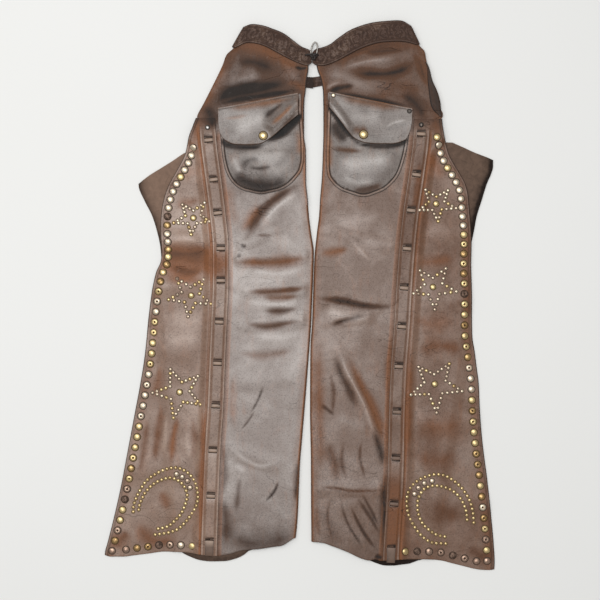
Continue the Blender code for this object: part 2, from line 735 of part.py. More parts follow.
# Oval wire ring that lies on the belt ends under the tie
def ring_body(name, x, y, half_wide, half_long, wire, height, lean):
    around = 20
    section = 6
    verts = []
    faces = []
    cx, cy, cz = place(x, y, height)
    for k in range(around):
        a = math.tau * k / around
        ox = half_wide * math.cos(a)
        oy = half_long * math.sin(a)
        nx = math.cos(a) * half_long
        ny = math.sin(a) * half_wide
        size = math.hypot(nx, ny)
        for m in range(section):
            b = math.tau * m / section
            px = ox + nx / size * wire * math.cos(b)
            py = oy + ny / size * wire * math.cos(b)
            qx = px * math.cos(lean) - py * math.sin(lean)
            qy = px * math.sin(lean) + py * math.cos(lean)
            verts.append((cx + qx * MM, cy + qy * MM, cz + wire * math.sin(b) * MM))
    for k in range(around):
        for m in range(section):
            a = k * section + m
            b = k * section + (m + 1) % section
            c = ((k + 1) % around) * section + (m + 1) % section
            d = ((k + 1) % around) * section + m
            faces.append((a, b, c, d))
    return make_object(name, finish_mesh(name, verts, faces), steel(name))


# Leather thong tied through both belt ends: a loop with the knot on top
TIE_HOLES = (305.5, 318.5)
TIE_Y = 55.5


def tie_body(name):
    left = place(TIE_HOLES[0], TIE_Y, 0)[0]
    right = place(TIE_HOLES[1], TIE_Y, 0)[0]
    y = place(0, TIE_Y, 0)[1]
    half = 1.4 * MM
    low = 5.4 * MM
    high = 14.4 * MM
    corners = [(left, low), (right, low), (right, high), (left, high)]
    verts = []
    for side_y in (y - half, y + half):
        for grow in (half, -half):
            for (x, z), (sx, sz) in zip(corners, ((-1, -1), (1, -1), (1, 1), (-1, 1))):
                verts.append((x + sx * grow, side_y, z + sz * grow))
    faces = []
    for k in range(4):
        m = (k + 1) % 4
        faces.append((k, m, m + 4, k + 4))
        faces.append((k + 8, k + 12, m + 12, m + 8))
        faces.append((k, k + 8, m + 8, m))
        faces.append((k + 4, m + 4, m + 12, k + 12))
    item = make_object(name, finish_mesh(name, verts, faces), belt_leather(name))
    lump_verts = []
    lump_faces = []
    cx, cy, cz = place(313.6, 56.9, 15.8)
    sides = 12
    levels = ((0.55, -2.9), (0.9, -1.9), (1.0, 0.0), (0.88, 1.7), (0.5, 2.8))
    for share, level in levels:
        for k in range(sides):
            a = math.tau * k / sides
            bulge = 1 + 0.08 * math.cos(4 * a)
            lump_verts.append((
                cx + 7.4 * MM * share * bulge * math.cos(a),
                cy + 7.0 * MM * share * bulge * math.sin(a),
                cz + level * MM,
            ))
    for ring in range(len(levels) - 1):
        for k in range(sides):
            a = ring * sides + k
            b = ring * sides + (k + 1) % sides
            lump_faces.append((a, b, b + sides, a + sides))
    lump_faces.append([sides - 1 - k for k in range(sides)])
    lump_faces.append([(len(levels) - 1) * sides + k for k in range(sides)])
    knot = helper_object("knot_shape", finish_mesh("knot_shape", lump_verts, lump_faces))
    carve(item, knot, "UNION")
    return item


# Assembly
def build_side(tag, side, pouch, flap, snap):
    slots = lace_slots("slots_" + tag, side)
    leg = leg_body("leg_" + tag, side)
    carve(leg, slots, "DIFFERENCE")
    wing = wing_body("wing_" + tag, side)
    carve(wing, slots, "DIFFERENCE")
    spots = [(x, y, wing_top_at(side, x, y), SPOT_RADIUS, SPOT_HEIGHT) for x, y in edge_spots(side)]
    spots += [(x, y, wing_top_at(side, x, y), 5.0, 2.2) for x, y in side["stars"]]
    carve(wing, spots_helper("spots_" + tag, spots), "UNION")
    lace_body("lace_" + tag, side)
    pouch_body("pouch_" + tag, pouch, flap)
    flap_body("flap_" + tag, flap)
    top = WING_OVER_FRONT + 2 * POUCH_THICK + 2 * GAP
    dome_body("snap_" + tag, snap[0], snap[1], top, 6.6, 3.0, brass("snap_" + tag))


def build():
    for item in list(bpy.data.objects):
        bpy.data.objects.remove(item)
    build_side("left", LEFT, POUCH_LEFT, FLAP_LEFT, (263.3, 135.9))
    build_side("right", RIGHT, POUCH_RIGHT, FLAP_RIGHT, (363.5, 134.7))
    wing_top = WING_OVER_FRONT + LEATHER + GAP
    dome_body("lace_rivet_left", 207.6, 127.6, wing_top, 4.2, 2.0, steel("lace_rivet_left"))
    dome_body("lace_rivet_right", 421.2, 124.9, wing_top, 4.2, 2.0, steel("lace_rivet_right"))
    flap_top = WING_OVER_FRONT + 2 * POUCH_THICK + 2 * GAP
    dome_body("flap_rivet_inner", 333.4, 95.6, flap_top, 4.0, 2.0, brass("flap_rivet_inner"))
    dome_body("flap_rivet_outer", 409.2, 111.4, flap_top, 4.0, 2.0, steel("flap_rivet_outer"))
    facing_body("hip_facing_right", HIP_FACING)
    holes = boxes_helper("tie_holes", [(x, TIE_Y, 0.0, 3.8, 3.8, 6.6, 11.0) for x in TIE_HOLES])
    carve(belt_body("belt_left", BELT_LEFT, STRAP_LEFT), holes, "DIFFERENCE")
    carve(belt_body("belt_right", BELT_RIGHT, STRAP_RIGHT), holes, "DIFFERENCE")
    tie_body("front_tie")
    ring_body("tie_ring", 314.1, 51.0, 5.3, 14.6, 1.0, 11.7, -0.16)


build()
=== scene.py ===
# Batwing chaps of dark brown leather, laid flat with the belt at the top: shells, spots, sewing and light
# Plan tables are in pattern units, x to the right and y down; heights are in millimetres above the floor
import math

import bmesh
import bpy
import numpy as np
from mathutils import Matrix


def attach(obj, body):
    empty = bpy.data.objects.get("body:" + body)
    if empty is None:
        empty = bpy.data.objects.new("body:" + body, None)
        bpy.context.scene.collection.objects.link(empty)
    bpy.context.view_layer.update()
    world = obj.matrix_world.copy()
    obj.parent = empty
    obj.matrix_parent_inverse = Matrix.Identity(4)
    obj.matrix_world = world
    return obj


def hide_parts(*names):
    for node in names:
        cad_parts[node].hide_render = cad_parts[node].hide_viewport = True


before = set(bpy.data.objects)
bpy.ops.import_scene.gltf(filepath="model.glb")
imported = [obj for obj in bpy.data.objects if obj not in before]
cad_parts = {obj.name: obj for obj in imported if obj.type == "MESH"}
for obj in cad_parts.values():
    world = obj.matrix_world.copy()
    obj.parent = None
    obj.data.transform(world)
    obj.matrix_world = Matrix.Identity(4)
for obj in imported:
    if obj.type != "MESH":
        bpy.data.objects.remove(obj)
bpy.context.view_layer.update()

UNIT = 0.00175
CENTRE_X = 299.65
CENTRE_Y = 295.25
MM = 0.001
PER_MM = MM / UNIT
LEATHER = 2.2
GAP = 0.3
BACK_MID = 1.1
FRONT_MID = 5.7
WING_OVER_BACK = 2.5
WING_OVER_FRONT = 7.1
POUCH_THICK = 2.0
LACE_WIDTH = 14.7
LACE_THICK = 1.5
LACE_LOW_MID = 3.55
LACE_HIGH_MID = 10.35
SLOT_LENGTH = 2.6
SLOT_REACH = 3.25
BELT_MID = 8.7
BELT_THICK = 3.2
STRAP_THICK = 2.0
EDGE_SPOTS = 44
HEM_SPOTS = 7
SHOE_OUTER_SPOTS = 39
SHOE_INNER_SPOTS = 29
SPOT_UNEVEN = 0.04
SPOT_SIDES = 18
SMALL_SPOT_SIDES = 8
MIDDLE_SPOT_SIDES = 16
CROTCH_Y = 205.0
HEM_Y = 554.0
SNAP_LEVEL = 11.7
RIVET_LEVEL = 9.6
STITCH_PITCH = 0.0034
SCROLL_LENGTH = 0.0245
TIE_HOLES = (305.5, 318.5)
TIE_Y = 55.5

# Left half: y and x of the lace line, leg rows (y, outer, inner), edges of the back panel and the wing
LEFT = {
    "tag": "left",
    "inward": 1,
    "lace": [
        (112, 206.8), (140, 208.6), (180, 213.7), (213, 217.8), (248, 220.9), (281, 220.9),
        (322, 219.3), (363, 217.5), (406, 215.8), (450, 212.9), (496, 210.9), (544, 209.4), (566, 209.0),
    ],
    "bridges": [140.1, 179.6, 213.0, 248.5, 280.6, 322.0, 363.3, 405.8, 450.5, 496.0, 542.0],
    "leg": [
        (28, 242.6, 307.0), (44, 237.4, 307.5), (48, 235.6, 307.8), (54, 228.4, 308.0), (58, 225.6, 308.0),
        (68, 221.2, 308.5), (80, 215.4, 306.5), (92, 209.4, 305.5),
        (100, 205.4, 304.4), (112, 199.8, 304.0), (118, 199.0, 304.0), (128, 199.6, 304.0),
        (136, 200.8, 304.0), (150, 203.2, 305.8), (165, 204.6, 306.0), (180, 205.7, 306.0),
        (200, 208.4, 307.8), (216, 210.1, 309.0), (232, 211.5, 311.0), (253, 212.9, 313.8),
        (280, 212.9, 313.0), (299, 212.3, 312.2), (325, 211.2, 311.0), (345, 210.3, 309.6),
        (392, 208.4, 306.0), (416, 207.1, 304.0), (440, 205.6, 302.0), (464, 204.3, 300.0),
        (488, 203.3, 299.0), (512, 202.4, 298.0), (536, 201.6, 296.0), (557, 201.2, 291.0),
    ],
    "leg_top": [(236, 36), (246, 33), (260, 34.8), (272, 39.5), (283, 45.5), (293, 51), (301, 57), (308, 61)],
    "leg_hem": [
        (201, 554.5), (213.7, 556.4), (231, 554), (245, 550.3), (260, 549.3), (276, 547),
        (284, 546), (292, 541), (297, 537),
    ],
    "back": [
        (150, 138.2), (182, 138.2), (186, 138.4), (200, 144), (216, 152), (232, 157), (246, 160),
        (262, 161.5), (290, 164), (330, 167), (400, 171), (480, 176), (553, 180), (566, 181),
    ],
    "back_top": [
        (138, 184), (148, 176), (161, 168), (174, 160), (187, 152), (200, 150), (225, 162), (265, 188),
        (306, 205),
    ],
    "back_hem": [
        (180, 551), (182, 553), (190, 557), (200, 560.5), (211.6, 561.8), (226, 561.5), (236, 559.5),
        (245, 556), (250.4, 551.3), (262, 548.5), (276, 546), (284, 545), (292, 540.5), (297, 537),
    ],
    "wing": [
        (112, 198.2), (120, 195), (128, 192), (136, 189), (144, 187.2), (149, 186.2), (155, 184.5),
        (161, 181.8),
        (172, 175.7), (186, 168), (199.5, 163.5), (212, 161.2), (225.5, 160.4), (245, 161.2), (253, 161.6),
        (261, 160.7), (272, 156), (280, 154), (296, 151), (320, 148), (352, 145), (384, 140), (416, 134),
        (448, 128), (480, 122), (512, 115), (544, 107), (552, 104.8), (560, 104.2),
    ],
    "wing_top": 118.0,
    "wing_hem": [
        (105, 555.5), (110, 557), (124, 557), (132, 556), (148, 554), (164, 552), (180, 552.3), (190, 553),
        (203, 555), (218, 556),
    ],
    "spot_inset": 6.7,
    "spot_first": 146.4,
    "spot_last": 549.5,
    "spot_trough": 262.0,
    "hem_spots": (125.8, 191.8, 7.0),
    # Centre x and y, steps a side and the five tips of each star
    "stars": [
        (193.3, 217.9, 3, [(173.7, 222.8), (182.4, 204.5), (204.5, 202.8), (209.2, 221.5), (191.2, 234.4)]),
        (191.2, 295.7, 3, [(168.5, 299.7), (177.2, 278.6), (203.5, 279.6), (210.8, 303.9), (188.0, 316.5)]),
        (179.5, 392.3, 4, [(152.3, 393.0), (170.3, 369.3), (197.8, 376.2), (200.1, 404.5), (173.4, 417.9)]),
    ],
    # Metal of each large spot: n nickel, b brass, d dull brass, p pinkish, k dark, and capitals have a dimple
    "metals": "nnnnbnnnnkdnndbdbdBNnBBbbBnNnnNbbbBdBPkbbPdppdDkPnb",
    "shoe_outer": [
        (133, 512), (133.6, 505), (138, 494), (145.5, 482), (155, 474.5), (167, 469), (178, 468),
        (188, 473), (194.5, 481.5),
        (197.4, 492), (197.4, 501), (194, 510), (186, 521.5), (178, 529), (168, 533), (155, 535),
    ],
    "shoe_inner": [
        (138.5, 510), (140, 503), (146, 491.5), (154.5, 483.5), (163, 479.5), (170, 478), (177, 480),
        (183.5, 485.5),
        (187, 494), (186, 502), (181.5, 513), (174.5, 521), (167, 527), (158, 529),
    ],
    "shoe_toe": [(176.6, 474.2), (182.1, 477), (187.5, 481.1), (190, 487.7)],
    "folds": [
        (240, 259, 306, 257, 12, 2.8), (248, 291, 306, 290, 11, 2.4), (245, 325, 302, 321, 11, 2.2),
        (244, 246, 298, 212, 12, 2.6), (232, 450, 275, 465, 12, 1.8), (238, 384, 290, 378, 12, 1.4),
    ],
    "waves": [(238, 13, 2.6), (286, 14, 3.0), (352, 18, 1.4), (470, 20, 1.6)],
}

RIGHT = {
    "tag": "right",
    "inward": -1,
    "lace": [
        (112, 421.8), (134, 421.2), (175, 416.3), (210, 411.1), (249, 406.9), (288, 404), (327, 401.7),
        (366, 398.7), (412, 396.8), (458, 395.9), (504, 394), (552, 391), (572, 390.4),
    ],
    "bridges": [134.0, 174.7, 210.5, 248.6, 288.0, 326.7, 366.5, 412.0, 458.2, 503.8, 549.0],
    "leg": [
        (26, 410.4, 315.5), (40, 415.0, 316.0), (45.5, 417.0, 316.0), (51, 422.4, 316.0), (60, 426.0, 316.0),
        (68, 429.0, 317.0),
        (80, 432.4, 321.0), (92, 437.6, 323.0), (100, 439.8, 323.2), (112, 440.6, 323.4), (118, 438.6, 323.4),
        (124, 436.0, 323.4), (132, 432.6, 323.4), (142, 429.6, 323.2), (155, 427.0, 322.8),
        (175, 424.3, 322.0),
        (200, 420.6, 320.0), (216, 418.3, 319.0), (232, 416.6, 317.0), (253, 414.5, 314.8),
        (270, 413.2, 313.9),
        (299, 411.4, 313.0), (325, 409.8, 312.0), (345, 408.2, 310.6), (366, 406.7, 310.2),
        (412, 404.8, 310.0),
        (458, 403.9, 310.8), (504, 402.0, 311.0), (540, 399.8, 311.3), (566, 398.6, 311.5),
    ],
    "leg_top": [
        (312, 61), (316, 61), (320, 58.5), (332.5, 53), (344.7, 45), (360, 37.7), (378, 32.5), (398, 31.5),
        (417, 34),
    ],
    "leg_hem": [
        (311, 542), (321, 543), (330, 546), (346, 552), (362, 559), (369, 560.5), (375, 559.4), (381, 561),
        (400, 560),
    ],
    "back": [
        (140, 493.4), (166, 493.4), (172, 492), (184, 487), (200, 482), (216, 477), (232, 474), (244, 471.5),
        (262, 468.5), (290, 465), (330, 460), (400, 451), (480, 438), (553, 426), (570, 425),
    ],
    "back_top": [
        (319, 205), (363, 186), (405, 158), (430, 143.5), (445, 142), (453, 145), (468, 152), (488, 160.5),
        (494, 166.5),
    ],
    "back_hem": [
        (311, 541.5), (321, 542.2), (330, 545), (346, 551), (362, 558), (369, 560.5), (378, 564), (386, 566),
        (394, 566), (402, 565), (410, 564), (418, 561), (424, 559.5), (427, 557),
    ],
    "wing": [
        (112, 441.9), (120, 442.2), (128, 443), (136, 444.4), (141.7, 445.7), (153, 448.6), (164, 454.2),
        (175.4, 461.2), (185, 466), (196.5, 468.5), (209, 469.6), (227, 471), (243, 471.7), (264, 471.3),
        (288, 472), (320, 472.2), (336, 472.6), (352, 475), (368, 477), (384, 479), (416, 480.4),
        (448, 483.4),
        (480, 487.6), (512, 491), (544, 494), (562, 495), (574, 494.4),
    ],
    "wing_top": 119.0,
    "wing_hem": [
        (383, 560.4), (398, 559.6), (424, 559.5), (434, 560), (442, 561), (450, 563), (458, 565), (466, 567),
        (474, 569), (482, 570.2), (490, 570.5), (494.5, 569.8),
    ],
    "spot_inset": 7.6,
    "spot_first": 135.8,
    "spot_last": 561.5,
    "spot_trough": None,
    "hem_spots": (476.7, 405.4, 8.0),
    "stars": [
        (436.2, 203.7, 3, [(419.7, 210.2), (425.7, 189.9), (448.2, 190.3), (456.3, 208.1), (438.2, 221.2)]),
        (433.0, 287.0, 3, [(413.8, 293.5), (420.3, 270.5), (446.0, 268.5), (456.5, 291.5), (434.9, 309.4)]),
        (434.8, 384.1, 4, [(411.2, 394.8), (418.7, 367.0), (449.5, 363.8), (462.4, 391.3), (436.7, 412.7)]),
    ],
    "metals": "bnnnbnnnnnnnbBdBdBKBbDbBdNnnbDBbbDDdbdNDBPbppPkPpkb",
    "shoe_outer": [
        (474, 523), (473.2, 513), (470, 501), (463, 489.5), (454, 481), (444, 475.5), (433, 474.8),
        (421, 479), (412, 486),
        (407.5, 495), (407, 506), (409.5, 517), (416, 529), (424, 538), (433, 543), (446, 544),
    ],
    "shoe_inner": [
        (467.4, 520), (466, 510), (461, 499), (453.5, 491.5), (445, 487.5), (434, 485.8), (425, 488.5),
        (420, 495), (417.5, 503),
        (418.5, 514), (423, 524), (431, 531.5), (438, 535.5), (445, 537),
    ],
    "shoe_toe": [(432.2, 481), (424.5, 483.3), (418.6, 487.9), (414.6, 494)],
    "folds": [
        (316, 300, 375, 305, 12, 2.6), (325, 322, 368, 317, 10, 2.0), (338, 350, 382, 455, 12, 2.4),
        (318, 489, 383, 490, 11, 2.2), (355, 505, 387, 540, 12, 2.0), (330, 232, 392, 246, 12, 1.8),
    ],
    "waves": [(228, 16, 1.8), (300, 18, 1.6), (420, 20, 2.0), (506, 20, 1.6)],
}

# Pouch rows: y, left edge, right edge
POUCH_LEFT = [
    (103, 219.6, 300.6), (122, 219.8, 302.4), (147.5, 221.3, 304.0), (158, 222.6, 304.1), (170, 225.4, 301.8),
    (179, 229.6, 295.6), (186, 235.6, 288.2), (190.6, 243.6, 279.4), (193.2, 254.0, 268.0),
]
POUCH_RIGHT = [
    (103, 328.0, 410.6), (122, 327.4, 410.2), (147.5, 326.6, 407.0), (157, 326.4, 405.0), (166, 326.4, 402.4),
    (175, 327.4, 398.8), (184, 333.0, 391.8), (190.6, 341.4, 383.6), (195.2, 355.0, 372.0),
]
# Flap columns: x, top edge, lower edge
FLAP_LEFT = [
    (217.8, 108.0, 119.0), (220.6, 107.5, 134.6), (226.0, 106.5, 141.2), (235.0, 104.8, 144.7),
    (247.0, 102.5, 145.2),
    (259.0, 100.2, 144.4), (271.0, 97.9, 138.0), (285.0, 95.3, 126.2), (298.6, 92.7, 114.8),
]
FLAP_RIGHT = [
    (328.8, 91.6, 107.3), (340.0, 93.9, 121.0), (347.8, 95.5, 131.6), (355.4, 97.0, 139.3),
    (366.0, 99.2, 143.2),
    (378.0, 101.6, 144.2), (390.6, 104.2, 144.2), (404.4, 107.0, 140.8), (409.8, 108.1, 131.6),
    (412.6, 108.7, 117.0),
]
# Belt stations from the front tie to the hip: x and y of the top edge, x and y of the lower edge
BELT_LEFT = [
    (311.7, 52.4, 311.7, 62.8), (308.5, 49.6, 306.5, 65.6), (301.4, 46.6, 296.5, 62.5),
    (293.8, 41.0, 286.0, 57.6),
    (283.6, 33.4, 275.5, 52.0), (271.8, 28.5, 265.5, 46.8), (262.7, 25.5, 256.5, 43.8),
    (252.0, 24.2, 246.0, 43.2),
    (244.8, 26.4, 234.9, 48.2),
]
BELT_RIGHT = [
    (312.5, 52.3, 312.5, 63.0), (315.5, 49.4, 316.5, 65.2), (323.0, 47.2, 325.0, 65.6),
    (330.4, 44.0, 337.0, 61.2),
    (340.0, 36.7, 349.0, 54.8), (352.4, 29.0, 361.0, 48.8), (370.7, 23.0, 376.0, 43.6),
    (390.6, 20.7, 392.0, 41.8),
    (402.0, 20.9, 405.0, 42.2), (409.6, 25.0, 416.8, 45.2),
]
# Strap stations under the hips: x and y of one edge, x and y of the other, mid height
STRAP_LEFT = [
    (258.6, 47.4, 245.4, 56.6, 1.0), (277.9, 65.3, 272.1, 74.7, 1.0), (288.4, 72.2, 285.4, 82.0, 3.3),
    (301.3, 76.3, 299.0, 86.7, 3.3), (313.0, 77.6, 313.0, 88.2, 3.3),
]
STRAP_RIGHT = [
    (393.6, 47.2, 406.4, 56.8, 1.0), (372.2, 63.3, 377.8, 72.7, 1.0), (343.9, 73.6, 346.1, 84.0, 1.0),
    (321.6, 75.6, 322.4, 85.4, 1.0), (313.3, 76.8, 313.7, 87.0, 1.0), (295.6, 76.2, 294.4, 86.2, 1.0),
]
# Hip facing rows: y, inner edge, outer edge
HIP_FACING = [
    (62.4, 425.4, 426.8), (68.7, 427.2, 429.4), (80, 427.6, 432.2), (91.7, 428.8, 437.2), (103, 430.3, 440.4),
    (109.5, 432.8, 441.0), (113.6, 436.6, 441.6), (117, 440.2, 441.8),
]

# Creases and worn patches: line through plan points, half width, height, then rust, sheen and dark shares;
# the sheen shares are painted highlights on crests, and the dark shares are partly dark hide and partly
# painted shade in troughs and under edges
LEG_MARKS_LEFT = [
    ([(303, 183), (283, 194), (266, 207), (252, 226), (244, 243)], 5.0, -1.6, 0.35, 0.0, 0.75),
    ([(302, 191), (284, 202), (271, 213), (259, 229)], 6.0, 1.3, 0.0, 0.75, 0.0),
    ([(262, 203), (250, 219), (240, 234)], 6.0, 0.8, 0.6, 0.0, 0.0),
    ([(241, 243), (243, 246), (247, 247)], 2.2, -0.8, 0.0, 0.0, 0.8),
    ([(236, 256), (242, 255)], 2.2, -0.6, 0.0, 0.0, 0.7),
    ([(255, 235), (274, 236)], 1.8, -0.4, 0.2, 0.0, 0.4),
    ([(228, 262), (250, 263), (282, 262), (313, 257)], 7.0, -1.4, 0.85, 0.0, 0.35),
    ([(250, 272), (282, 274), (306, 269)], 6.0, 0.8, 0.0, 0.6, 0.0),
    ([(244, 292), (268, 292), (290, 290), (312, 287)], 4.0, -1.5, 0.75, 0.0, 0.65),
    ([(262, 298), (284, 298), (300, 296)], 3.6, -0.8, 0.6, 0.0, 0.35),
    ([(246, 303), (275, 305), (300, 303)], 5.0, 0.9, 0.0, 0.65, 0.0),
    ([(262, 311), (284, 311), (300, 308)], 3.4, -1.0, 0.4, 0.0, 0.7),
    ([(243, 323), (265, 327), (284, 324), (303, 321)], 4.2, -1.2, 0.45, 0.0, 0.6),
    ([(252, 336), (280, 339), (302, 334)], 7.0, 0.8, 0.0, 0.5, 0.0),
    ([(236, 352), (262, 356), (296, 350)], 5.0, -0.6, 0.35, 0.0, 0.2),
    ([(232, 449), (240, 457), (250, 463), (262, 467), (277, 463)], 2.4, 0.8, 0.0, 0.8, 0.0),
    ([(234, 466), (246, 474)], 3.0, 0.5, 0.0, 0.7, 0.0),
    ([(299, 455), (297, 480), (295, 505)], 3.4, -1.0, 0.1, 0.0, 0.7),
    ([(222, 494), (226, 522), (225, 550)], 6.0, -0.7, 0.1, 0.0, 0.45),
    ([(222, 530), (250, 543), (276, 541), (302, 528)], 13.0, 0.5, 0.0, 0.0, 0.35),
    ([(264, 384), (258, 400), (250, 414)], 1.4, -0.3, 0.0, 0.0, 0.7),
    ([(255, 410), (249, 420), (240, 431)], 1.2, -0.3, 0.0, 0.0, 0.6),
    ([(279, 480), (274, 492), (264, 503)], 1.6, -0.4, 0.0, 0.0, 0.8),
    ([(240, 476), (238, 494), (236, 514)], 3.0, -0.4, 0.1, 0.0, 0.4),
    ([(222, 440), (225, 470), (222, 500)], 3.6, -0.5, 0.2, 0.0, 0.45),
    ([(226, 180), (232, 205), (236, 232)], 6.0, 0.5, 0.35, 0.1, 0.0),
    ([(236, 368), (232, 400), (236, 432)], 5.0, 0.5, 0.4, 0.15, 0.0),
]
LEG_MARKS_RIGHT = [
    ([(312, 298), (342, 301), (367, 306), (398, 308)], 4.0, -1.6, 0.3, 0.0, 0.8),
    ([(318, 310), (350, 316), (372, 322)], 7.0, 1.0, 0.0, 0.8, 0.0),
    ([(328, 327), (346, 320), (368, 314)], 3.6, -1.1, 0.2, 0.0, 0.6),
    ([(349, 240), (360, 250), (372, 263)], 2.6, 0.9, 0.1, 0.6, 0.0),
    ([(318, 254), (334, 252), (350, 248)], 5.0, -0.8, 0.7, 0.0, 0.1),
    ([(340, 352), (346, 370), (354, 384), (363, 401), (371, 421), (377, 450)], 4.2, 1.7, 0.1, 0.65, 0.0),
    ([(347, 352), (356, 374), (368, 398), (379, 424), (384, 452)], 5.4, -1.0, 0.8, 0.0, 0.2),
    ([(334, 352), (340, 372), (350, 392), (358, 412)], 4.6, -1.0, 0.1, 0.0, 0.55),
    ([(372, 428), (379, 446), (384, 468)], 4.4, -1.0, 0.0, 0.0, 0.6),
    ([(313, 487), (334, 488), (354, 491), (385, 490)], 1.4, -0.6, 0.3, 0.0, 0.4),
    ([(357, 497), (370, 517), (381, 536)], 2.0, -0.9, 0.0, 0.0, 0.6),
    ([(350, 505), (362, 530), (378, 552)], 1.8, -0.6, 0.1, 0.0, 0.7),
    ([(340, 500), (348, 524), (364, 550)], 1.6, -0.4, 0.0, 0.0, 0.5),
    ([(361, 492), (372, 512), (380, 528)], 1.6, -0.4, 0.0, 0.0, 0.6),
    ([(330, 496), (328, 520), (333, 544)], 1.6, -0.3, 0.2, 0.0, 0.25),
    ([(344, 440), (342, 462), (348, 484)], 2.4, -0.4, 0.2, 0.0, 0.35),
    ([(362, 440), (360, 458), (366, 480)], 2.2, -0.4, 0.2, 0.0, 0.4),
    ([(330, 372), (334, 392), (332, 416)], 2.6, -0.4, 0.2, 0.0, 0.35),
    ([(318, 500), (317, 520), (320, 540)], 2.8, 0.4, 0.3, 0.2, 0.2),
    ([(320, 404), (328, 410), (335, 416)], 1.8, -0.5, 0.0, 0.0, 0.6),
    ([(333, 418), (352, 425), (366, 433)], 8.0, 0.6, 0.0, 0.5, 0.1),
    ([(326, 440), (334, 462), (338, 484)], 6.0, -0.5, 0.3, 0.0, 0.3),
    ([(321, 500), (330, 525), (342, 546)], 7.0, 0.6, 0.1, 0.2, 0.2),
    ([(330, 215), (352, 222), (384, 214)], 9.0, 0.6, 0.0, 0.55, 0.0),
    ([(390, 330), (388, 380), (390, 430), (388, 480)], 4.4, -0.5, 0.5, 0.0, 0.2),
    ([(386, 468), (384, 492), (384, 520), (382, 548)], 4.0, -0.7, 0.1, 0.0, 0.7),
    ([(320, 330), (319, 380), (320, 430), (321, 480)], 6.0, 0.3, 0.6, 0.0, 0.1),
    # Painted shadow in the small gap at the right hem's curled notch
    ([(374, 557), (379, 557), (382, 560)], 2.6, -1.2, 0.0, 0.0, 1.0),
]
HIP_MARKS_LEFT = [
    ([(232, 50), (250, 46), (266, 50), (286, 60), (306, 72)], 9.0, 0.5, 1.0, 0.15, 0.0),
    ([(226, 88), (244, 78), (264, 71)], 7.0, 1.0, 0.1, 0.5, 0.0),
    ([(280, 60), (290, 70), (298, 84)], 8.0, 0.7, 0.3, 0.6, 0.0),
    ([(212, 106), (230, 93), (254, 88), (290, 83)], 7.5, -1.1, 0.0, 0.0, 1.0),
    ([(234, 64), (254, 62), (278, 72)], 7.0, -0.5, 0.2, 0.0, 0.45),
    ([(208, 98), (216, 84), (228, 66)], 5.0, 0.7, 0.3, 0.85, 0.0),
    ([(226, 60), (214, 86), (202, 112)], 2.4, 0.2, 1.0, 0.1, 0.0),
    # Painted shadow just above the left flap's top edge
    ([(215, 105), (240, 99.5), (268, 95), (302, 89)], 2.4, -0.3, 0.0, 0.0, 1.0),
    ([(294, 66.6), (301, 68.6), (308, 67.4)], 1.6, 0.3, 0.0, 0.0, 1.0),
    ([(285, 84), (296, 84), (305, 92)], 3.6, 0.5, 0.6, 0.3, 0.0),
    ([(204, 104), (211, 117), (213, 132)], 7.0, -0.3, 0.1, 0.0, 0.6),
]
HIP_MARKS_RIGHT = [
    ([(328, 64), (354, 53), (384, 45), (418, 47)], 4.0, 0.3, 1.0, 0.0, 0.3),
    ([(340, 69), (358, 63), (378, 59.5), (402, 56.5)], 4.2, 1.4, 0.1, 1.0, 0.0),
    ([(346, 71), (372, 74), (400, 71), (418, 58)], 6.0, -1.1, 1.0, 0.0, 0.6),
    ([(362, 53), (384, 51), (406, 50)], 3.6, -0.5, 0.7, 0.0, 0.4),
    ([(318, 76), (338, 75), (360, 84), (384, 96)], 13.0, 0.6, 0.0, 0.85, 0.0),
    ([(324, 90), (334, 84), (344, 79)], 3.0, 1.0, 0.2, 0.9, 0.0),
    ([(326, 93), (340, 88), (356, 85)], 3.0, -0.5, 0.5, 0.0, 0.8),
    ([(380, 82), (402, 88), (424, 90)], 8.0, 0.4, 0.5, 0.3, 0.2),
    ([(398, 92), (416, 104), (426, 122)], 7.0, 0.3, 0.1, 0.1, 0.45),
    ([(412, 50), (420, 66), (428, 88)], 3.6, -0.4, 0.9, 0.0, 0.3),
    # Painted shadow just above the right flap's top edge
    ([(328, 91.6), (360, 97), (388, 102.5), (412, 107)], 2.2, -0.2, 0.0, 0.0, 1.0),
]
